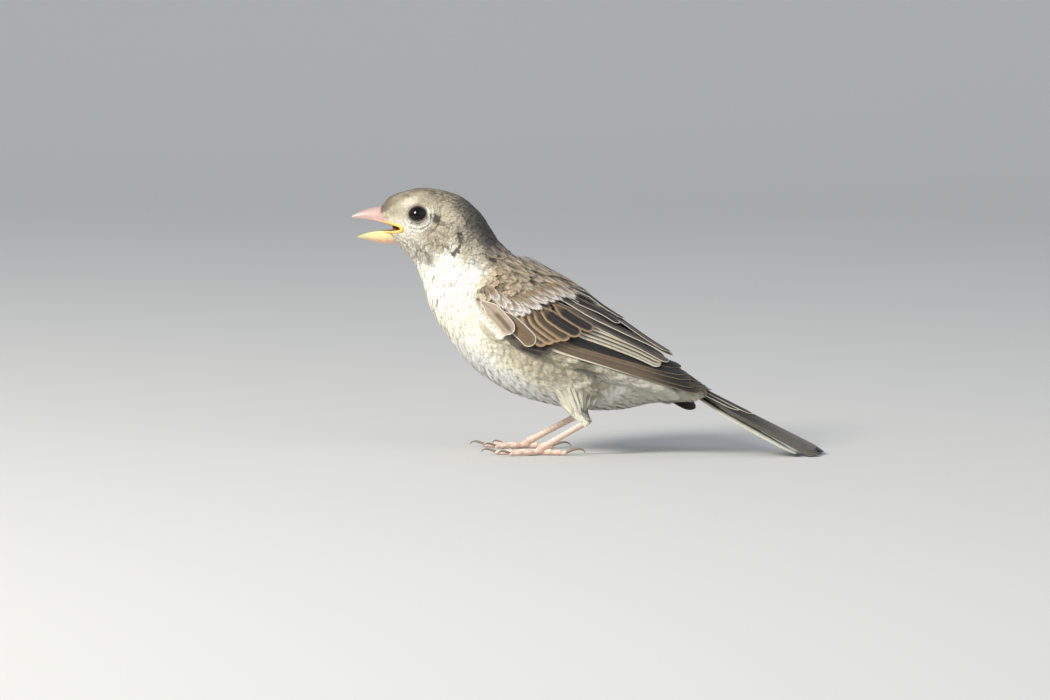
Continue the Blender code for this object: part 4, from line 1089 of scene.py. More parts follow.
def coat_heading(points, angle):
    """The heading of the coat: along the form, but away from the eye, so that it parts ahead of the eye."""
    x, z = points[:, 0] - EYE_X, points[:, 2] - EYE_Z
    pull = np.exp(-((np.hypot(x, z) / 5.0) ** 2)) * (np.abs(points[:, 1]) > SIDE_ON)
    swirl = np.clip(pull * 1.6 * np.sign(z) * smoothstep(np.abs(z) / 2.0) * ramp(x, 1.5, -5.0), -0.9, 0.9)
    return np.where(np.cos(angle) > 0, swirl, -swirl)


def lay_zone(pile, zone, size, colours, seed):
    """One zone of the coat: its roots, and the fans that grow from them in the skin's own colours."""
    start, end, step, long, wide, barbs = zone
    chance = np.random.default_rng(seed)
    t, angle = rooted(BODY, start, end, step, seed)
    points = BODY.points(t, angle)
    lift = np.stack([-coat_depth(t), np.full(len(t), 0.04)], axis=-1)
    spots, ways = grown(BODY, t, angle, coat_heading(points, angle), long * size, lift, chance)
    away = np.hypot(spots[:, :, 0] - EYE_X, spots[:, :, 2] - EYE_Z) - EYE_BARE
    clear = (away[:, 0] > 1.7) & (away[:, 2] > 0.3) | (np.abs(points[:, 1]) < SIDE_ON)
    back = (np.sin(angle) > 0.66) & (t > MANTLE_FIRST + 0.5) & (t < MANTLE_LAST - 0.6)
    keep = clear & (mouth_gap(points) < 0.4) & ~back
    t, angle = t[keep], angle[keep]
    seen = t + 0.65 * long * size / np.maximum(np.linalg.norm(BODY.steps(t, angle)[0], axis=1), 0.5)
    base, streak, dark = markings(BODY.points(seen, angle), seen, angle, colours)
    feathers = Feathers((spots[keep], ways[keep]), wide * size, barbs, chance, 0.8)
    streak = streak * chance.uniform(0.2, 1.0, len(t))
    tone = feathers.tint(base, streak, colours, dark, (0.15 + 0.5 * streak)[:, None])
    feathers.put_on_body(pile, tone, t, angle)


def lay_fringe(pile, colours):
    """Short bristly feathers that lie forward over the bill's root, all round it but at the mouth."""
    chance = np.random.default_rng(SEEDS["fringe"] + 1)
    t, angle = rooted(BODY, 0.02, 1.15, 0.36, SEEDS["fringe"])
    points = BODY.points(t, angle)
    keep = mouth_gap(points + np.array([-1.3, 0.0, 0.0])) < 0.3
    t, angle, points = t[keep], angle[keep], points[keep]
    base, _, dark = markings(points, t, angle, colours)
    nasal = patch(points[:, [0, 2]], (-56.6, 71.4), (2.0, 1.6), 45.0)
    base = blend(base, colours["mark"] * 2.2, nasal * 0.6)
    forward = np.full(len(t), math.pi)
    laid = grown(BODY, t, angle, forward, 1.25 + 0.5 * nasal, (-0.15, 0.2), chance, 0.14)
    feathers = Feathers(laid, 0.5, 6, chance, 2.0)
    feathers.put_on_body(pile, feathers.tint(base, np.zeros(len(t)), colours, dark, 0.2), t, angle)

def lay_mantle(pile, size, colours):
    """The back's feathers in lines down the back, so that their dark middles join up to streaks."""
    chance = np.random.default_rng(SEEDS["mantle"])
    lines = 15
    row, column = np.meshgrid(
        np.arange(MANTLE_FIRST, MANTLE_LAST, 0.36), np.linspace(-1.0, 1.0, lines), indexing="ij"
    )
    t = (row + chance.uniform(-0.05, 0.05, row.shape)).ravel()
    half = np.interp(t, [7.0, 10.0, 14.0], [0.75, 0.95, 0.8])
    angle = math.pi / 2 + (column + chance.uniform(-0.015, 0.015, row.shape)).ravel() * half
    count = len(t)
    grey = ramp(t, 12.2, 2.0)
    base = blend(colours["mantle"] * chance.uniform(0.7, 1.1, (count, 1)), colours["rump"], grey)
    # Painted shade in part: the front of the back darkens towards the nape
    base = blend(base, colours["nape"], ramp(t, 7.8, -0.8) * 0.6)
    every_other = np.where(np.arange(count) % lines % 2 == 0, 1.0, 0.3)
    streak = every_other * chance.uniform(0.8, 1.0, count) * (1 - 0.5 * grey)
    full = ramp(t, 7.6, 1.6) * ramp(t, 15.0, -2.0)
    lift = np.stack([-coat_depth(t) * 0.8 + 0.6 * full, 0.4 + 0.9 * full], axis=-1)
    laid = grown(BODY, t, angle, np.zeros(count), size * 1.1, lift, chance, 0.04)
    feathers = Feathers(laid, size * 0.44, 46, chance, 0.5)
    tone = feathers.tint(base, streak, colours, edge=0.6 - 0.5 * grey[:, None],
                         edge_colour=colours["mantle"] * 1.35, width=0.6, tip=0.2)
    feathers.put_on_body(pile, tone, t, angle)


def eye_rings(pile, colours, seed):
    """Rows of tiny feathers round each eye, in the skin's colours, so that its rings show in them."""
    chance = np.random.default_rng(seed)
    for away in np.arange(EYE_BARE - 0.15, EYE_BARE + 2.9, 0.3):
        count = int(2 * math.pi * away / 0.34)
        turn = (np.arange(count) + chance.uniform(-0.25, 0.25, count)) * 2 * math.pi / count
        out = np.stack([np.cos(turn), np.sin(turn)], -1)
        round_it = np.stack([-np.sin(turn), np.cos(turn)], -1)
        swirl = 0.5 * np.sin(turn) * np.where(np.cos(turn) < 0, -1.0, -0.4) + chance.normal(0.0, 0.12, count)
        roots = (EYE_X, EYE_Z) + out * (away + chance.uniform(-0.08, 0.08, count))[:, None]
        tips = roots + 1.0 * (out * np.cos(swirl)[:, None] + round_it * np.sin(swirl)[:, None])
        t, angle = BODY.locate((roots + tips) / 2)
        base, _, dark = markings(BODY.points(t, angle), t, angle, colours)
        for side in SIDE_NAMES:
            feathers = Feathers(drawn(BODY, roots, tips, (-0.3, 0.08), side), 0.6, 8, chance)
            tone = feathers.tint(base, np.zeros(count), colours, dark, 0.1)
            feathers.put_on_body(pile, tone, t, angle if side == LEFT else math.pi - angle)


# Wing tiers from the lowest to the highest. keys: a few of the tier's feathers, from its first to its last,
# as root x and z, tip x and z, half width, and height of root and tip over the wing's form. The tier's count
# of feathers is spaced evenly over them. bow: how far the middle line bows up. tilt and wrap: how far the
# upper edge is turned down. colours: middle, rim and dark patch; patch: where the dark begins and ends along,
# and its share of the width. edges: the columns whose side has a rim
TIER_DEFAULTS = dict(bow=0.4, tilt=0.1, wrap=0.0, blunt=1.0, edges=(0, -1))
WING_TIERS = (
    dict(count=5,
         keys=((-20.0, 37.2, 34.4, 18.5, 1.9, -0.5, -0.2), (-14.0, 38.4, 27.8, 25.2, 2.2, -0.6, 0.1)),
         rim=0.24, blunt=1.8, colours=("primary", "primary_rim", "black"),
         patch=(0.7, 1.0, 0.9), edges=(-1,)),
    dict(count=1, keys=((-20.6, 35.9, 28.6, 20.5, 1.5, -0.5, -0.2),),
         rim=1.0, blunt=2.4, colours=("primary", "panel", "primary"), patch=(0.5, 1.0, 0.9), edges=(-1,)),
    # A painted shadow: a near-black tier for the dark fold between the secondaries and the primaries
    dict(count=2, keys=((-12.0, 37.2, 25.0, 25.0, 1.9, 0.0, 0.1), (-10.0, 38.4, 24.4, 26.2, 2.1, 0.1, 0.3)),
         rim=0.08, blunt=1.2, colours=("black", "tertial", "black"), patch=(0.05, 0.95, 0.8), edges=(-1,)),
    dict(count=5, keys=((-8.0, 38.4, 22.8, 25.6, 2.0, 0.3, 0.5), (-4.0, 41.2, 23.0, 27.2, 2.2, 0.5, 0.9)),
         bow=0.9, tilt=0.12, rim=0.85, blunt=1.1, colours=("tertial", "panel", "black"),
         patch=(0.3, 0.9, 0.3), edges=(-1,)),
    dict(count=3, keys=((-7.0, 43.6, 24.4, 26.0, 2.1, 0.5, 1.1), (-5.0, 46.0, 24.9, 29.0, 2.9, 0.7, 1.5)),
         bow=0.3, wrap=0.2, rim=0.42, colours=("tertial", "rim_pale", "black"), patch=(0.2, 0.85, 0.35)),
    dict(count=2, keys=((-6.2, 46.2, 9.9, 36.5, 1.9, 0.6, 1.7), (-4.6, 47.6, 11.6, 38.0, 2.1, 0.6, 1.8)),
         bow=0.5, wrap=0.2, rim=0.42, colours=("black", "rim_pale", "black"), patch=(0.1, 1.0, 0.8)),
    dict(count=2, keys=((-20.6, 34.4, -8.4, 29.6, 1.2, 0.0, 0.3), (-19.6, 35.6, -6.8, 30.8, 1.4, 0.1, 0.4)),
         bow=-0.7, rim=0.1, blunt=1.1, colours=("tertial", "primary", "black"), patch=(0.3, 0.9, 0.7)),
    dict(count=4, keys=((-18.0, 40.6, -8.6, 32.2, 1.9, 0.6, 1.3), (-13.0, 42.4, -2.0, 33.8, 2.2, 0.6, 1.5)),
         bow=-0.6, tilt=0.14, rim=1.0, colours=("covert", "covert_rim", "covert_dark"),
         patch=(0.05, 0.93, 0.9)),
    dict(count=2, keys=((-11.2, 42.6, 0.6, 34.4, 2.2, 0.8, 1.7), (-7.4, 43.2, 3.6, 35.5, 2.1, 0.8, 1.7)),
         bow=-0.4, tilt=0.14, rim=0.75, colours=("covert", "covert_rim", "black"), patch=(0.1, 1.0, 0.9)),
    dict(count=1, keys=((-23.2, 41.6, -12.0, 32.3, 2.3, 0.5, 1.4),), bow=0.5, tilt=-0.05, rim=0.36,
         colours=("covert_brown", "rim_pale", "covert"), patch=(0.2, 0.92, 0.4)),
    dict(count=1, keys=((-27.2, 44.0, -17.8, 35.5, 2.3, 0.6, 1.9),), bow=0.5, tilt=-0.05, rim=0.42,
         colours=("covert_grey", "rim_pale", "covert_brown"), patch=(0.3, 0.92, 0.25)),
)
FEATHER_SHIFT = 0.25  # how far a vane's tip may stray from its even place
VANE_ROWS, VANE_COLUMNS = 34, 15
VANE_THICK = 0.12
BAKE_CELLS = 8  # vanes in a row of the bake map


def vane_outline(v, long, half_width, blunt):
    """Half width along a vane: narrow at the root, full from a third on, half an oval at the tip."""
    tip = min(0.6, blunt * half_width / long)
    root = 0.35 + 0.65 * smoothstep(v / 0.35)
    close = np.sqrt(np.clip(1.0 - np.clip((v - 1.0 + tip) / tip, 0.0, 0.995) ** 2, 0.0, 1.0))
    return half_width * root * close


def lay_vane(pile, place, vane, colours, chance, cell):
    """A flight feather as a thin closed blade.

    Rows run along its middle line and columns across it. The outline closes round the tip, the web arches
    across, the shaft stands up as a ridge, and the edge is a little uneven. place puts rows of along and
    across, in millimetres, on what the feather lies on, and gives points and normals.
    """
    long, half_width = vane["long"], vane["half_width"]
    v = 1.0 - (1.0 - np.linspace(0.0, 1.0, VANE_ROWS)) ** 1.35
    across = np.linspace(-1, 1, VANE_COLUMNS)
    across = np.sign(across) * np.abs(across) ** 0.8
    outline = vane_outline(v, long, half_width, vane["blunt"])
    waver = 1.0 + 0.012 * np.interp(v * 40, np.arange(42), chance.normal(0.0, 1.0, 42))
    c = across[None] * (np.where(across[None] < 0, 0.88, 1.0) * (outline * waver)[:, None])
    v, outline = v[:, None], outline[:, None]
    u = np.broadcast_to(v * long, c.shape)
    web = np.stack([c, u], axis=-1)
    sides = np.concatenate([web[:, column] for column in vane["edges"]])
    edge = np.linalg.norm(web[:, :, None] - sides, axis=-1).min(-1)
    straight = np.min([np.abs(half_width * (1 if column else -1) - c) for column in vane["edges"]], axis=0)
    edge = np.where(u < 0.3 * long, np.minimum(edge, straight), edge)
    points, normals = place(u, c)
    ridge = 0.07 * np.exp(-((c / 0.12) ** 2)) * ramp(v, 1.0, -0.3)
    arch = 0.10 * half_width * (1 - (c / half_width) ** 2) + ridge
    thick = VANE_THICK * (1 - 0.6 * np.abs(across[None]) ** 2) * (1 - 0.6 * v)
    top = points + normals * arch[..., None]
    low = top - normals * thick[..., None]
    middle, rim, dark = colours
    begin, end, share = vane["patch"]
    fade = vane.get("fade", 0.12)
    spot = ramp(v, begin, 0.2) * ramp(v, end + fade / 2, -fade)
    spot = spot * ramp(np.abs(c) / np.maximum(outline, 0.2), share * 1.3, -0.5 * share)
    light = 1.0 + chance.normal(0.0, 0.08)
    tone = blend(evenly(middle * light, points), dark, spot)
    cell_v, cell_u = ((part + 0.5) / BAKE_CELLS for part in divmod(cell, BAKE_CELLS))
    where = np.stack([cell_u + 0.055 * c / half_width, cell_v + 0.11 * (u / long - 0.5)], axis=-1)
    values = {
        "middle": np.stack([tone, tone]), "rim": evenly(rim * light, np.stack([top, low])),
        "edge": np.tile(edge.ravel(), 2), "rim_width": np.full(2 * edge.size, vane["rim"]),
    }
    maps = {"OFBake": np.stack([where, where]), "Vane": np.stack([web + (0.0, 60.0 * cell)] * 2)}
    pile.add(np.stack([top, low]), two_sheets(*c.shape), values, maps)


def wing_placer(root, tip, tier, height, side):
    """Puts a vane's along and across on the wing's form, its middle line bowed between root and tip.

    The web curls down on both sides, and on the upper side by wrap more.
    """
    run = tip - root
    square = np.array([-run[1], run[0]]) / np.linalg.norm(run)

    def place(u, c):
        v = u[:, 0] / u[-1, 0]
        line = root + v[:, None] * run + (4 * tier["bow"] * v * (1 - v))[:, None] * square
        t, angle = WING.locate(line)
        spots, normals = WING.points(t, angle), WING.normals(t, angle)
        across = unit(np.cross(unit(np.gradient(spots, axis=0)), normals))
        rise = (height[0] + (height[1] - height[0]) * v)[:, None] + tier["tilt"] * c - 0.018 * c**2
        rise = rise - tier["wrap"] * np.minimum(c, 0) ** 2
        points = spots[:, None] + c[..., None] * across[:, None] + rise[..., None] * normals[:, None]
        points, normals = on_side(points, side), on_side(normals, side)
        return points, np.broadcast_to(normals[:, None], points.shape)

    return place


def lay_tier(pile, tier, side, tones, chance, cell):
    """The vanes of one tier, spaced evenly over its key feathers."""
    tier = {**TIER_DEFAULTS, **tier}
    for i, key in enumerate(spaced(tier["keys"], tier["count"])):
        shift = chance.uniform(-FEATHER_SHIFT, FEATHER_SHIFT, 2)
        root, tip = hung(key[0:2], side), hung(key[2:4] + shift, side)
        width = key[4] * chance.uniform(0.97, 1.05)
        vane = dict(tier, long=np.linalg.norm(tip - root), half_width=width)
        place = wing_placer(root, tip, tier, key[5:7], side)
        lay_vane(pile, place, vane, [tones[name] for name in tier["colours"]], chance, cell + i)
    return cell + tier["count"]


# Lines of shoulder feathers: first and last tip, how many, how long, how dark they are where they come out, a
# painted shadow of the row above
SCAPULARS = (
    (-19.4, 51.4, -15.8, 46.6, 3, 6.4, 0.25),
    (-17.0, 52.4, -11.8, 45.2, 5, 8.4, 0.35),
    (-14.0, 52.2, -8.4, 44.6, 5, 9.6, 0.95),
    (-10.4, 51.0, -4.8, 44.6, 5, 10.6, 0.35),
    (-6.8, 49.4, -1.4, 44.8, 4, 11.0, 0.95),
    (-3.0, 48.2, 1.8, 44.9, 3, 11.4, 0.6),
)

# Tips of the white-tipped median coverts, and the lines of the wing's front and lower edges
BAR_TIPS = ((-22.6, 43.6), (-20.6, 42.6), (-18.6, 41.4), (-16.8, 40.6), (-15.0, 40.4), (-13.2, 40.8),
            (-11.4, 41.6), (-9.4, 42.4), (-7.2, 43.0), (-5.0, 43.5), (-2.8, 44.0))

FRONT_EDGE = ((-31.0, 46.8), (-29.6, 43.2), (-27.0, 40.0), (-24.4, 37.2), (-23.6, 36.4))

LOWER_EDGE = ((-23.0, 34.6), (-12.0, 30.6), (-2.0, 27.6), (8.0, 24.6), (18.0, 21.6), (26.0, 19.4))


def lay_wing_coat(pile, side, colours, seed):
    """The small feathers of one wing.

    In turn: the flank's feathers that fill the ledge under the wing, pale ones along its front edge, the
    brown lesser coverts, the white-tipped median coverts and the long shoulder feathers.
    """
    chance = np.random.default_rng(seed)

    def stray(count, far):
        return chance.uniform(-far, far, (count, 2))

    def lay(roots, tips, wide, barbs, lift, base, streak, fluff=0.6, shades=colours, **more):
        lift = np.array(lift) * chance.uniform(0.85, 1.15, (len(roots), 1))
        laid = drawn(WING, hung(roots, side), hung(tips, side), lift, side)
        feathers = Feathers(laid, wide, barbs, chance, fluff)
        tone = feathers.tint(base, streak, shades, **more)
        t, angle = WING.locate(roots)
        feathers.put(pile, tone, 0.06 + 0.8 * t / WING.last, 0.5 + 0.4 * angle / math.pi)

    count = 44
    for row in range(5):
        tips = spaced(LOWER_EDGE, count) + (0.8 * row, -0.9 * row) + stray(count, 0.7)
        t, angle = BODY.locate(tips)
        base, _, _ = markings(BODY.points(t, angle), t, angle, colours)
        rise = -0.5 - 0.55 * row
        roots = tips + (-7.0, 3.8)
        lay(roots, tips, 3.4, 44, (rise - 1.0, rise), base, np.zeros(count), edge=0.15, down=0.1)

    count = 20
    for row in range(3):
        roots = spaced(FRONT_EDGE, count) + (0.7 * row - 0.8, 0.5 * row) + stray(count, 0.3)
        tips = roots + np.linspace((2.0, -3.0), (3.8, -2.4), count)
        base = blend(colours["throat"], colours["mantle"], np.full(count, 0.3 * row))
        lay(roots, tips, 2.4, 30, (-1.6, -0.1 + 0.25 * row), base, np.zeros(count), edge=0.1, down=0.0)

    t, angle = rooted(WING, 0.0, 3.2, 1.1, seed, math.radians(-22.0), math.radians(76.0))
    spots = WING.points(t, angle)
    inside = patch(spots[:, [0, 2]], (-24.4, 47.4), (8.6, 6.0), -34.0, 0.1) > 0.5
    spots = spots[inside & (spots[:, 0] > -30.8)]
    xz = spots[:, [0, 2]]
    base = blend(colours["lesser"], colours["mantle"], 0.7 * speckle(spots, 2.2, 8))
    base = blend(base, colours["throat"], ramp(xz[:, 0], -27.6, -3.0) * 0.35)
    dark = 0.1 + 0.8 * (speckle(spots, 4.4, 19) > 0.72)
    way = np.stack([np.full(len(xz), 3.1), -2.0 - 0.05 * (xz[:, 0] + 25)], axis=-1)
    lay(xz, xz + way, 2.2, 22, (-0.4, 0.9), base, dark, edge=0.4, edge_colour=colours["mantle"], width=0.5)

    tips = np.array(BAR_TIPS)
    count = len(tips)
    roots = tips + np.linspace((-4.0, 4.2), (-7.4, 4.6), count)
    brown = np.tile(colours["lesser"] * 0.75, (count, 1))
    for shift in (0.0, 0.5):
        loose = tips + shift + (0.4, -0.3) + stray(count, 0.6)
        lay(roots + shift, loose, 2.5, 50, (0.7, 2.0 + shift / 4), brown, np.full(count, 0.3), 1.2,
            edge=1.0, edge_colour=colours["bar"], tip=0.6)

    heading = unit(np.array([0.86, -0.51]))
    for x, z, end_x, end_z, count, long, strength in reversed(SCAPULARS):
        share = np.linspace(0.0, 1.0, count)[:, None] + chance.uniform(-0.02, 0.02, (count, 1))
        tips = np.array([x, z]) * (1 - share) + np.array([end_x, end_z]) * share
        tips = tips + stray(count, 0.6)
        base = colours["mantle"] * chance.uniform(0.78, 1.08, (count, 1))
        # Painted shadow: each feather's root comes out dark, as if shaded by the row above
        deep = dict(colours, down=colours["mark"] * 1.4)
        lay(tips - heading * long, tips, 3.7, 70, (0.0, 1.3), base, chance.uniform(0.5, 1.0, count), 0.6,
            dark=colours["lesser"] * 0.45, edge=0.45, edge_colour=colours["mantle"] * 1.3,
            width=0.2, tip=0.2, shades=deep, down=strength, root=0.88)


def two_sheets(rows, columns):
    """Faces of a closed blade: an upper and a lower grid of points, and the wall round them."""
    count = rows * columns
    upper = grid_faces(rows, columns)[:, ::-1]
    index = np.arange(count).reshape(rows, columns)
    rim = np.concatenate([index[0], index[1:, -1], index[-1, -2::-1], index[-2:0:-1, 0]])
    wall = np.stack([rim, np.roll(rim, -1), np.roll(rim, -1) + count, rim + count], axis=-1)[:, ::-1]
    return [np.concatenate([upper, upper[:, ::-1] + count, wall])]


def wing_arm_parts(pile, side, colours):
    """The arm that the feathers grow from: two sheets along the wing's form that close at their rims."""
    line = np.array(WING_ARM)
    line[:, :2] = hung(line[:, :2], side)
    share = np.linspace(0.0, len(line) - 1.0, 40)
    line = sampled(line, share)
    along = np.gradient(line[:, :2], axis=0)
    square = np.stack([-along[:, 1], along[:, 0]], 1) / np.linalg.norm(along, axis=1)[:, None]
    columns = np.linspace(-1.0, 1.0, 21)
    xz = line[:, None, :2] + columns[None, :, None] * (line[:, None, 2:] - 0.4) * square[:, None]
    t, angle = WING.locate(xz)
    spots, normals = WING.points(t, angle), WING.normals(t, angle)
    ends = np.sqrt(np.clip(np.sin(np.pi * share / share[-1]), 0.02, 1.0))
    thin = np.sqrt(np.clip(1.0 - columns[None] ** 2, 0.02, 1.0)) * ends[:, None]
    middle, half = (ARM_TOP + ARM_BOTTOM) / 2, (ARM_TOP - ARM_BOTTOM) / 2
    sheets = [spots + normals * (middle + way * half * thin)[..., None] for way in (1, -1)]
    points = on_side(np.stack(sheets), side)
    faces = [rows[:, ::LEFT * side] for rows in two_sheets(*t.shape)]
    where = np.stack([0.05 + 0.9 * t / WING.last, 0.5 + angle / math.pi * 0.4], axis=-1)
    tone = evenly(colours["down"] * 0.3, points)
    pile.add(points, faces, {"plumage": tone}, {"OFBake": np.stack([where, where])})


def turned(a, b, angle):
    """Turns the direction a towards the direction b."""
    return a * math.cos(angle) - b * math.sin(angle), a * math.sin(angle) + b * math.cos(angle)


def tail_placer(pair, side, over=0.0):
    """Puts a tail vane's along and across over the tail's plane, turned out, pitched and rolled."""
    share = pair / (TAIL_PAIRS - 1)
    full = math.dist(TAIL_ROOT, TAIL_TIP)
    prong = 1.0 if side == LEFT and pair == TAIL_PAIRS - 1 else 0.0
    long = full + TAIL_HIDDEN - TAIL_NOTCH * (1 - share) - TAIL_LEFT_SHORT * prong
    if side == LEFT and not prong:
        share *= 0.5
    turn = side * (TAIL_SPREAD * (share * 0.92 + 0.08) + 0.02 * prong)
    pitch = math.atan2(TAIL_ROOT[1] - TAIL_TIP[1], TAIL_TIP[0] - TAIL_ROOT[0])

    def into_place(x, y, z):
        y, z = turned(y, z, TAIL_ROLL)
        z, x = turned(z, x, pitch)
        return np.stack([x, y, z], axis=-1)

    def place(u, c):
        reach = c + side * (0.9 + 1.2 * prong)
        level = over + 0.35 - TAIL_PAIR_DROP * (TAIL_PAIRS - 1) * share - 0.05 * side * c - 0.012 * c**2
        points = into_place(*turned(u - TAIL_HIDDEN, reach, turn), level) + (TAIL_ROOT[0], 0.0, TAIL_ROOT[1])
        points[..., 2] = np.maximum(points[..., 2], 0.05)
        return points, evenly(into_place(0.0, 0.0, 1.0), points)

    return place, long


def with_ends(rows):
    """Rows with the first and the last one repeated, as the closed ends of a loft need them."""
    return np.concatenate([rows[:1], rows, rows[-1:]])


def tube_grid(path, radii, columns):
    """Rings of points square to a path, with their faces; the ends close to a point."""
    path, radii = np.asarray(path, float), np.asarray(radii, float)
    along = unit(np.gradient(path, axis=0))
    side = unit(np.cross(along, evenly((0.02, 0.01, 1.0), along)))
    up = np.cross(side, along)
    angle = circle(columns)[None, :, None]
    ring = np.cos(angle) * side[:, None] + np.sin(angle) * up[:, None]
    if radii.ndim == 1:
        radii = radii[:, None]
    points = with_ends(path[:, None] + radii[..., None] * ring)
    points[0], points[-1] = path[0], path[-1]
    return points, grid_faces(len(points), columns, wrap=True)


def bill_half(sections, hollow):
    """Half of the bill: a round back with a low ridge, and a trough between its cutting edges."""
    form = Form(sections)
    rows, back, trough = 70, 48, 16
    t = (1.0 - (1.0 - np.linspace(0.0, 1.0, rows)) ** 1.3)[:, None] * form.last
    sizes = form.sizes(t)
    top, low, half = sizes[..., 0:2], sizes[..., 2:4], sizes[..., 4]
    ridge, edge = (top, low) if hollow > 0 else (low, top)
    turn = np.linspace(0.0, math.pi, back)
    inner = np.linspace(-0.86, 0.86, trough)
    crest = np.sin(turn) + 0.03 * np.exp(-(((turn - math.pi / 2) / 0.16) ** 2))
    share = np.concatenate([crest, 0.02 + abs(hollow) * (1 - inner**2)])[None, :, None]
    out = np.concatenate([np.sign(np.cos(turn)) * np.abs(np.cos(turn)) ** 0.9, inner])[None, :]
    flat = edge + (ridge - edge) * share
    points = np.stack([flat[..., 0], half * out, flat[..., 1]], axis=-1)
    return points, t / form.last, np.broadcast_to(share[..., 0], points.shape[:2])


def close_ends(points):
    """Adds a ring drawn to a point at each end of a loft."""
    points = with_ends(points)
    points[0], points[-1] = points[0].mean(0), points[-1].mean(0)
    return points


def bill_parts(bare):
    """Both halves of the bill with their colours: pinkish grey with an orange base, yellow and pink."""
    horn, ridge, pink, gape, yellow = (
        bare[name] for name in ("bill", "bill_ridge", "bill_pink", "gape", "bill_yellow")
    )
    made = {}
    halves = (("upper", BILL_UPPER_SECTIONS, 0.3), ("lower", BILL_LOWER_SECTIONS, -0.45))
    for name, sections, hollow in halves:
        points, along, up = bill_half(sections, hollow)
        mottle = speckle(points, 1.6, 14)
        if name == "upper":
            away = np.hypot((points[..., 0] - NOSTRIL[0]) / 1.25, points[..., 2] - NOSTRIL[1])
            pit = np.exp(-((away / 0.42) ** 2)) * (np.abs(points[..., 1]) > 0.8)
            points[..., 1] *= 1.0 - 0.28 * pit
            tone = blend(evenly(horn, points), ridge, ramp(along, 0.2, 0.9) * 0.5)
            tone = blend(tone, ridge, ramp(up, 0.8, 0.2) * 0.3 + 0.25 * mottle * (1 - along))
            tone = blend(tone, blend(gape, pink, 0.4), ramp(along, 0.6, -0.4) * ramp(up, 0.34, -0.3) * 0.75)
            # Painted shade: the nostril's hole is painted near black
            tone = blend(tone, bare["eye"], np.clip(pit * 1.1, 0.0, 0.9))
        else:
            tone = blend(evenly(yellow, points), pink, ramp(up, 0.42, 0.45) * 0.9)
            tone = blend(tone, gape, ramp(along, 0.5, -0.4) * ramp(up, 0.5, -0.3) * 0.6)
            tone = blend(tone, yellow * (0.72, 0.82, 0.8), ramp(along, 0.6, 0.35))
            tone = tone * (0.96 + 0.08 * mottle)[..., None]
        made[name] = (close_ends(points), with_ends(tone))
    return made


def outward(piece):
    """Turns a closed piece's faces outwards by the sign of its volume."""
    mesh = piece.data
    mesh.calc_loop_triangles()
    triangles = np.empty(len(mesh.loop_triangles) * 3, np.int32)
    mesh.loop_triangles.foreach_get("vertices", triangles)
    spots = np.empty(len(mesh.vertices) * 3, np.float32)
    mesh.vertices.foreach_get("co", spots)
    a, b, c = np.moveaxis(spots.reshape(-1, 3)[triangles.reshape(-1, 3)].astype(float), 1, 0)
    if (a * np.cross(b, c)).sum() < 0:
        mesh.flip_normals()
    return piece


def shank_grid(side):
    """The bare lower leg: a tube whose front is stepped by scutes that overlap downwards."""
    ankle, hub = np.array(FEET[side]["ankle"]), np.array([*FEET[side]["hub"], HUB_HEIGHT])
    rows, columns = 190, 36
    share = np.linspace(-0.12, 1.0, rows)
    end = hub - unit(hub - ankle) * 0.5
    path = ankle + share[:, None] * (end - ankle)
    scute = np.mod(share * 15.0 + 0.15 * np.sin(share * 31.0), 1.0)
    step = 0.1 * scute**2.5 - 0.03
    waist = 1.04 - 0.13 * np.sin(math.pi * np.clip(share, 0, 1)) + 0.14 * ramp(share, 0.9, 0.1)
    angle = circle(columns)
    front = 0.25 + 0.75 * smoothstep(0.5 + 0.8 * np.sin(angle))
    radii = (TARSUS_RADIUS * waist)[:, None] * (1 - 0.10 * np.cos(angle) ** 2) + step[:, None] * front[None]
    radii = radii * np.sqrt(np.clip((share[:, None] + 0.125) * 12.0, 0.0, 1.0))
    points, faces = tube_grid(path, radii, columns)
    crust = with_ends(scute)[:, None] * front[None]
    return points, faces, crust * (0.5 + 0.5 * speckle(points, 1.4, 44))


def toe_grids(hub, heading, long, claw, radius):
    """A toe with pads under its joints and scutes on top, and its curved claw."""
    way = np.array([math.cos(heading), math.sin(heading)])
    rows, columns = 90, 28
    share = np.linspace(0.0, 1.0, rows)
    pads = 1.0 + TOE_PAD_SWELL * np.cos(share * TOE_JOINTS * 2 * math.pi)
    sizes = radius * (1.0 - TOE_TAPER * share) * pads
    heights = sizes - TOE_SINK + TOE_ROOT_RISE * np.exp(-((share / 0.12) ** 2))
    path = np.column_stack([np.array(hub) + share[:, None] * long * way, heights])
    angle = circle(columns)
    above = smoothstep(0.2 + 1.2 * np.sin(angle))
    scute = np.mod(share * long / 0.95, 1.0)
    granule = 0.03 * np.sin(share * long * 9.0)[:, None] * np.sin(angle * 7.0)[None]
    radii = sizes[:, None] + 0.07 * (scute**2.5)[:, None] * above[None] + granule * (1 - above[None])
    ends = np.sqrt(np.clip((1.0 - share) * 14.0, 0.0, 1.0))
    digit, digit_faces = tube_grid(path, radii * (0.35 + 0.65 * ends)[:, None], columns)
    digit[..., 2] = np.maximum(digit[..., 2], 0.0)
    crust = with_ends(scute)[:, None] * above[None]
    share = np.linspace(0.0, 1.0, 40)
    thick = radius * 0.48 * (1 - share) ** 0.8 + 0.05
    ahead = claw * (0.75 * np.sin(share * math.pi / 2) + 0.2 * share)
    rise = 0.5 + 0.25 * claw * (np.sin(share * math.pi * 0.86) - 0.36 * share)
    spots = np.array(hub) + (long - CLAW_ROOT + ahead)[:, None] * way
    nail, nail_faces = tube_grid(np.column_stack([spots, np.maximum(rise, thick + 0.05)]), thick, 16)
    return (digit, digit_faces, crust), (nail, nail_faces)


def foot_headings(side):
    """Heading, toe length, claw length and radius of each toe of a foot."""
    for _, turn, *sizes in TOES:
        yield math.radians(180.0 - side * turn + FEET[side]["turn"]), *sizes


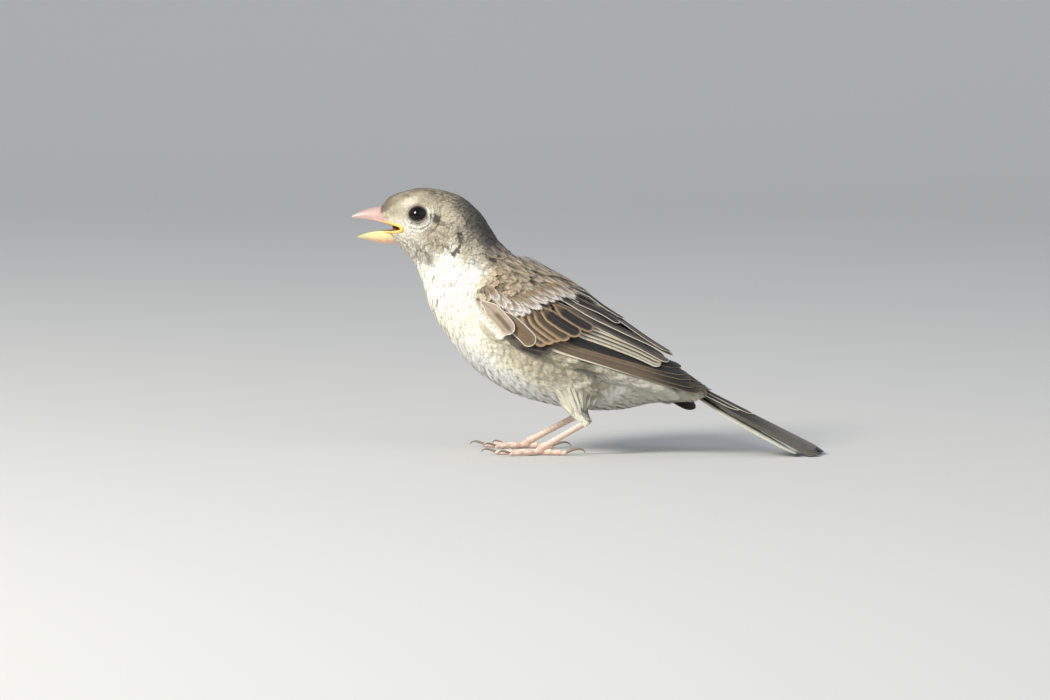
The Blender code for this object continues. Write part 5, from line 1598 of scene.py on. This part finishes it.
class SPARROW_OT_skin(bpy.types.Operator):
    """Make the skin under the coat"""

    bl_idname = "sparrow.skin"
    bl_label = "Skin"

    def execute(self, context):
        pile = skin_parts(palette("sparrow_plumage"), palette("sparrow_bare"))
        piece = outward(pile.make("skin", plumage_finish()))
        show(piece, "plumage_pale", "torso", "neck", "head", "thigh_left", "thigh_right")
        return {"FINISHED"}


def closed_piece(name, points, faces, finish, tone):
    """A closed piece with its faces outwards, in one colour or in a colour for each point."""
    return outward(make_mesh(name, points, [faces], finish, {"tone": evenly(tone, points)}))


def gape_grid():
    """The fold at the left corner of the mouth: a tube that follows a smoothed GAPE_LINE over the cheek."""
    share = np.linspace(0.0, len(GAPE_LINE) - 1.0, 60)
    x, z = (
        np.convolve(np.pad(part, 4, "edge"), np.ones(9) / 9, "valid") for part in sampled(GAPE_LINE, share).T
    )
    cheek = np.abs(BODY.points(*BODY.locate(np.stack([x, z], axis=-1)))[:, 1])
    ahead = ramp(x, -55.6, -2.6)
    y = -(cheek * (1 - ahead) + (3.5 - 0.27 * (-55.6 - x)) * ahead) + 0.25
    radii = np.interp(share, np.arange(len(GAPE_LINE)), GAPE_RADII)
    return tube_grid(np.stack([x, y, z], axis=-1), radii, 24)


class SPARROW_OT_eyes(bpy.types.Operator):
    """Make the eyeballs and the lids"""

    bl_idname = "sparrow.eyes"
    bl_label = "Eyes"

    def execute(self, context):
        bare = palette("sparrow_bare")
        centre, look = eye_place()
        side = unit(np.cross(look, (0.0, 0.0, 1.0)))
        up = np.cross(side, look)

        def ring(turn):
            return np.cos(turn)[..., None] * side + np.sin(turn)[..., None] * up

        wet, build, shader = finish_base("eye", 0.04, **{"Specular IOR Level": 0.3})
        build.feed(shader.inputs["Base Color"], build.point_value("tone", "Color"))
        skin = grained("lid", "tone", 0.6, 5200.0, 0.4, 0.5)
        polar, turn = round_grid(math.pi, 49, 96)
        rays = np.cos(polar)[..., None] * look + np.sin(polar)[..., None] * ring(turn)
        ball = centre + EYE_RADIUS * rays
        iris = ramp(np.sin(polar) * EYE_RADIUS, 1.5, 0.5)
        ball_tone = blend(evenly(bare["eye"] * 0.3, ball), bare["eye"] * 2.4, iris)
        share, turn = round_grid(1.0, 30, 120)
        folds = 0.03 * np.cos(share * 2 * math.pi * 2.0) + 0.012 * np.sin(turn * 34)
        inner = LID_WIDE * LID_HIGH / np.hypot(LID_HIGH * np.cos(turn), LID_WIDE * np.sin(turn))
        reach = inner + (LID_OUTER - inner) * share
        height = np.sqrt(EYE_RADIUS**2 - inner**2)
        roll = 0.16 * np.sin(math.pi * np.minimum(share * 1.6, 1.0))
        sit = height + 0.02 + roll + (2.3 - height) * share**2
        lid = centre + reach[..., None] * ring(turn) + (sit + folds)[..., None] * look
        lid_tone = blend(evenly(bare["lid"] * 0.5, lid), bare["lid"] * 5.0, ramp(share, 0.35, 0.4))
        for which, name in SIDE_NAMES.items():
            points, faces = pose(on_side(ball, which)), grid_faces(*polar.shape, wrap=True)
            eye = closed_piece("eyeball_" + name, points, faces, wet, ball_tone)
            show(eye, "eye_black", "eye_" + name)
            points, faces = pose(on_side(lid, which)), grid_faces(*share.shape, wrap=True)[:, ::LEFT * which]
            show(make_mesh("lid_" + name, points, [faces], skin, {"tone": lid_tone}), "plumage_head")
        return {"FINISHED"}


class SPARROW_OT_bill(bpy.types.Operator):
    """Make the bill and the folds at the mouth's corners"""

    bl_idname = "sparrow.bill"
    bl_label = "Bill and mouth"

    def execute(self, context):
        bare = palette("sparrow_bare")
        shine = {"Coat Weight": 0.15, "Coat Roughness": 0.3}
        horn = grained("bill horn", "tone", 0.36, 1500.0, 0.18, 0.12, **shine)
        soft = grained("gape skin", "tone", 0.45, 2600.0, 0.16, 0.2)
        for name, (points, tone) in bill_parts(bare).items():
            faces = grid_faces(*points.shape[:2], wrap=True)
            piece = closed_piece("bill_" + name + "_horn", pose(points), faces, horn, tone)
            show(piece, "bill_horn" if name == "upper" else "bill_yellow", "bill_" + name)
        points, faces = gape_grid()
        for side, name in SIDE_NAMES.items():
            piece = closed_piece("gape_" + name, pose(on_side(points, side)), faces, soft, bare["gape"])
            show(piece, "bill_yellow")
        return {"FINISHED"}


class SPARROW_OT_head_coat(bpy.types.Operator):
    """Make the feathers of the head"""

    bl_idname = "sparrow.head_coat"
    bl_label = "Head feathers"

    def execute(self, context):
        colours = palette("sparrow_plumage")
        size = context.scene.sparrow_sizes.head_feather / MM
        for number, (name, *zone) in enumerate(HEAD_ZONES):
            pile = Pile()
            lay_zone(pile, zone, size, colours, SEEDS["head"] + number)
            if name == "face":
                lay_fringe(pile, colours)
            if name == "brow":
                eye_rings(pile, colours, SEEDS["eye_rings"])
            show(pile.make("coat_" + name, plumage_finish()), "plumage_head")
        return {"FINISHED"}


def lay_thigh(pile, side, colours, seed):
    """The feathered thigh: a close pale sock with painted shade behind, and loose plumes over it from the
    flank.
    """
    chance = np.random.default_rng(seed)
    limb = thigh_limb(side)

    def add(laid, s, angle, wide, barbs, rear, shades, down):
        base = blend(colours["breast"], colours["shade"] * 2.2, rear)
        feathers = Feathers(laid, wide, barbs, chance, 2.0)
        tone = feathers.tint(base, np.zeros(len(s)), shades, edge=0.2, down=down, root=0.7)
        feathers.put(pile, tone, 0.88 + 0.05 * (side > 0) + 0.03 * s, 0.3 + 0.04 * angle)

    s, angle = rooted(limb, 0.02, 0.88, 0.5, seed)
    pale = chance.uniform(size=len(s)) < 0.3
    # Painted shade on the side of the sock that faces back
    rear = ramp(limb.normals(s, angle)[:, 0], -0.1, 0.5) * np.where(pale, 0.3, 0.95)
    long = np.interp(s, (0.0, 1.0), (4.6, 2.4))
    laid = grown(limb, s, angle, np.zeros(len(s)), long, (-0.4, 0.15), chance, 0.1)
    add(laid, s, angle, 0.6, 22, rear, colours, 0.1)

    count = 125
    xz = np.stack([chance.uniform(-8.0, 5.0, count), chance.uniform(15.8, 22.5, count)], axis=-1)
    t, angle = BODY.locate(xz + (FEET[side]["knee"][0] - FEET[LEFT]["knee"][0], 0.0))
    share = (xz[:, 0] + 8.5) / 14.0
    s_end = chance.uniform(0.15, 0.75, count)
    turn = (share - 0.35) * 1.9 + chance.normal(0.0, 0.16, count)
    turn = math.pi - turn if side == LEFT else turn
    roots = on_side(BODY.points(t, angle, chance.uniform(-2.4, -0.9, count)), side)
    tips = limb.points(s_end, turn, 0.3 + chance.uniform(0.0, 0.5, count))
    out = np.tile((0.0, float(side), 0.0), (count, 1))
    spots = np.stack([roots, (roots + tips) / 2 + 0.65 * out, tips], axis=1)
    # Painted shade on the plumes that lie towards the tail
    rear = ramp(share, 0.55, 0.25) * np.where(chance.uniform(size=count) < 0.45, 0.1, 0.85)
    flank, _, _ = markings(BODY.points(t, angle), t, angle, colours)
    shades = dict(colours, down=flank[:, None])
    add((spots, np.repeat(out[:, None], 2, 1)), s_end, turn, 0.85, 58, rear, shades, 0.95)


class SPARROW_OT_body_coat(bpy.types.Operator):
    """Make the feathers of the neck, body and thighs"""

    bl_idname = "sparrow.body_coat"
    bl_label = "Body feathers"

    def execute(self, context):
        colours = palette("sparrow_plumage")
        size = context.scene.sparrow_sizes.body_feather / MM
        piles = {}
        for number, (name, *zone) in enumerate(BODY_ZONES):
            piles[name] = Pile()
            lay_zone(piles[name], zone, size, colours, SEEDS["body"] + number)
        piles["mantle"] = Pile()
        lay_mantle(piles["mantle"], size, colours)
        piles["thighs"] = Pile()
        for side in SIDE_NAMES:
            lay_thigh(piles["thighs"], side, colours, SEEDS["thighs"] + side)
        for name, pile in piles.items():
            show(pile.make("coat_" + name, plumage_finish()), "plumage_pale")
        return {"FINISHED"}


class SPARROW_OT_wings(bpy.types.Operator):
    """Make the folded wings, tier by tier"""

    bl_idname = "sparrow.wings"
    bl_label = "Wings"

    def execute(self, context):
        tones, colours = palette("sparrow_vanes"), palette("sparrow_plumage")
        for side, name in SIDE_NAMES.items():
            chance = np.random.default_rng(SEEDS["vanes"])
            pile, cell = Pile(), 0
            for tier in WING_TIERS:
                cell = lay_tier(pile, tier, side, tones, chance, cell)
            show(pile.make("vanes_" + name, vane_finish()), "wing_brown", "wing_" + name)
            coat = Pile()
            wing_arm_parts(coat, side, colours)
            lay_wing_coat(coat, side, colours, SEEDS["wing_coat"] + side)
            show(coat.make("wing_coat_" + name, plumage_finish()), "wing_brown")
        return {"FINISHED"}


class SPARROW_OT_tail(bpy.types.Operator):
    """Make the tail's twelve feathers, and the two coverts on it"""

    bl_idname = "sparrow.tail"
    bl_label = "Tail"

    def execute(self, context):
        tones = palette("sparrow_vanes")
        chance = np.random.default_rng(SEEDS["tail"])
        pile = Pile()

        def lay(place, vane, names, cell):
            lay_vane(pile, place, vane, [tones[name] for name in names], chance, cell)

        for pair in range(TAIL_PAIRS):
            for i, side in enumerate(SIDE_NAMES):
                place, long = tail_placer(pair, side)
                outer = side == LEFT and pair == TAIL_PAIRS - 1
                wide, blunt, rim, dark = (2.4, 6.5, 2.6, 0.1) if outer else (TAIL_HALF_WIDTH, 1.2, 0.5, 1.2)
                vane = dict(long=long, half_width=wide, blunt=blunt, rim=rim, fade=0.5,
                            patch=(-0.2, 0.6, dark), edges=(0,) if side == LEFT else (-1,))
                # The outermost right feather's rim, the tail's upper edge in view, is partly a painted
                # highlight
                edge = "tail_cream" if outer else "tail_rim" if pair == TAIL_PAIRS - 1 else "tail"
                lay(place, vane, ("tail", edge, "tail_dark"), 2 * pair + i)
        for i, (side, long, over) in enumerate(TAIL_COVERTS):
            vane = dict(long=TAIL_HIDDEN + long, half_width=2.0, blunt=2.2, rim=0.5,
                        patch=(0.0, 1.0, 0.7), edges=(0, -1))
            place, _ = tail_placer(0, side, over)
            lay(place, vane, ("covert_brown", "rim_pale", "tail_dark"), 2 * TAIL_PAIRS + i)
        show(pile.make("vanes_tail", vane_finish()), "tail_brown", "tail")
        return {"FINISHED"}


class SPARROW_OT_legs(bpy.types.Operator):
    """Make the bare legs, toes and claws"""

    bl_idname = "sparrow.legs"
    bl_label = "Legs and feet"

    def execute(self, context):
        bare = palette("sparrow_bare")
        hide = grained("leg scutes", "tone", 0.55, 3000.0, 0.35, 0.45)
        horn = grained("claw horn", "tone", 0.3, 1800.0, 0.2, 0.1)

        def crusted(points, crust):
            return blend(evenly(bare["leg"], points), bare["scute"], crust)

        for side, name in SIDE_NAMES.items():
            points, faces, crust = shank_grid(side)
            piece = closed_piece("shank_" + name, points, faces, hide, crusted(points, crust))
            show(piece, "leg_skin", "tarsus_" + name)
            toes, nails = Pile(), Pile()
            hub = FEET[side]["hub"]
            polar, turn = round_grid(math.pi, 24, 36)
            ball = np.stack([np.sin(polar) * np.cos(turn), np.sin(polar) * np.sin(turn), np.cos(polar)], -1)
            ball = ball * HUB_RADII + (*hub, HUB_HEIGHT - HUB_SINK)
            toes.add(ball, [grid_faces(*polar.shape, wrap=True)], {"tone": evenly(bare["leg"], ball)})
            for heading, long, claw, radius in foot_headings(side):
                (digit, digit_faces, crust), (nail, nail_faces) = toe_grids(hub, heading, long, claw, radius)
                toes.add(digit, [digit_faces], {"tone": crusted(digit, crust * 0.7)})
                along = np.linspace(0.0, 1.0, len(nail))[:, None]
                tone = blend(evenly(bare["claw"], nail), bare["claw"] * 0.45, along)
                nails.add(nail, [nail_faces], {"tone": tone})
            show(toes.make("toes_" + name, hide), "leg_skin", "foot_" + name)
            show(nails.make("claws_" + name, horn), "leg_skin")
        return {"FINISHED"}


# The studio. Lights: name, place, size and colour
FLOOR_COLOUR = (0.62, 0.62, 0.60, 1.0)
FLOOR_BEND, FLOOR_RISE = 1.2, 0.45  # where the floor begins to curve up behind the bird, and how steeply
FLOOR_DROP = 0.0002  # under the soles, so that they don't lie in its plane
SKY_COLOUR, SKY_STRENGTH = (0.85, 0.9, 1.0, 1.0), 0.52
LIGHTS = (
    ("key", (-0.95, -0.85, 0.85), 0.5, (1.0, 0.96, 0.88)),
    ("fill", (0.9, -1.3, 0.9), 2.2, (0.9, 0.95, 1.0)),
)
LIGHTS_AIM = (0.0, 0.0, 0.04)  # the place that both lights look at


class SPARROW_OT_stage(bpy.types.Operator):
    """Make the floor, the studio lights and the camera"""

    bl_idname = "sparrow.stage"
    bl_label = "Stage"

    def execute(self, context):
        scene, sizes = context.scene, context.scene.sparrow_sizes
        finish, _, shader = finish_base("studio floor", 0.85)
        shader.inputs["Base Color"].default_value = FLOOR_COLOUR
        half = sizes.floor_width / 2
        run = np.linspace(-half, half, 60)[:, None]
        lifted = np.where(run > FLOOR_BEND, FLOOR_RISE * (run - FLOOR_BEND) ** 2, 0.0)
        across = np.linspace(-half, half, 9)
        points = np.stack(np.broadcast_arrays(across, run, lifted - FLOOR_DROP), axis=-1)
        floor = make_mesh("studio_floor", points / MM + SHIFT, [grid_faces(60, 9)[:, ::-1]], finish)
        for name, place, size, tint in LIGHTS:
            data = bpy.data.lights.new(name, "AREA")
            data.shape, data.size, data.color = "DISK", size, tint
            data.energy = getattr(sizes, name + "_power")
            lamp = bpy.data.objects.new(name, data)
            lamp.location = place
            lamp.rotation_euler = facing(np.array(LIGHTS_AIM) - place)
            scene.collection.objects.link(lamp)
        scene.view_settings.view_transform = "Standard"
        scene.world = bpy.data.worlds.new("studio")
        scene.world.use_nodes = True
        sky = scene.world.node_tree.nodes["Background"].inputs
        sky[0].default_value, sky[1].default_value = SKY_COLOUR, SKY_STRENGTH
        cos_e, sin_e = math.cos(CAMERA_ELEVATION), math.sin(CAMERA_ELEVATION)
        right = np.array([math.cos(CAMERA_AZIMUTH), math.sin(CAMERA_AZIMUTH), 0.0])
        back = np.array([right[1] * cos_e, -right[0] * cos_e, sin_e])
        up = np.cross(back, right)
        target = (FRAME_MIDDLE[0] * right + FRAME_MIDDLE[1] * up - SHIFT) * MM
        data = bpy.data.cameras.new("camera")
        data.sensor_width = 36.0
        data.lens = data.sensor_width * CAMERA_DISTANCE / FRAME_WIDTH
        data.clip_end = 50.0
        camera = bpy.data.objects.new("camera", data)
        camera.location = target + back * CAMERA_DISTANCE
        camera.rotation_euler = facing(-back)
        scene.collection.objects.link(camera)
        scene.camera = camera
        return {"FINISHED"}


def facing(way):
    """The rotation that turns -Z to a direction, with +Y kept up."""
    way = unit(np.asarray(way, float))
    return (math.acos(-way[2]), 0.0, math.atan2(way[1], way[0]) - math.pi / 2)


class SPARROW_PT_panel(bpy.types.Panel):
    """The sparrow's sizes, colours and steps"""

    bl_label = "Sparrow"
    bl_idname = "SPARROW_PT_panel"
    bl_space_type = "VIEW_3D"
    bl_region_type = "UI"
    bl_category = "Sparrow"

    def draw(self, context):
        for group in GROUPS:
            box = self.layout.box()
            held = getattr(context.scene, group)
            for name in own_names(held):
                box.prop(held, name)
        for operator in OPERATORS:
            self.layout.operator(operator.bl_idname)


GROUPS = {
    "sparrow_plumage": SPARROW_PG_plumage,
    "sparrow_vanes": SPARROW_PG_vanes,
    "sparrow_bare": SPARROW_PG_bare,
    "sparrow_sizes": SPARROW_PG_sizes,
}
OPERATORS = (
    SPARROW_OT_skin, SPARROW_OT_eyes, SPARROW_OT_bill, SPARROW_OT_head_coat, SPARROW_OT_body_coat,
    SPARROW_OT_wings, SPARROW_OT_tail, SPARROW_OT_legs, SPARROW_OT_stage,
)


def register():
    for item in (*GROUPS.values(), *OPERATORS, SPARROW_PT_panel):
        bpy.utils.register_class(item)
    for name, group in GROUPS.items():
        setattr(bpy.types.Scene, name, bpy.props.PointerProperty(type=group))


def unregister():
    for name in GROUPS:
        delattr(bpy.types.Scene, name)
    for item in reversed((*GROUPS.values(), *OPERATORS, SPARROW_PT_panel)):
        bpy.utils.unregister_class(item)


def main():
    register()
    for operator in OPERATORS:
        getattr(bpy.ops.sparrow, operator.bl_idname.partition(".")[2])()


if __name__ == "__main__":
    main()
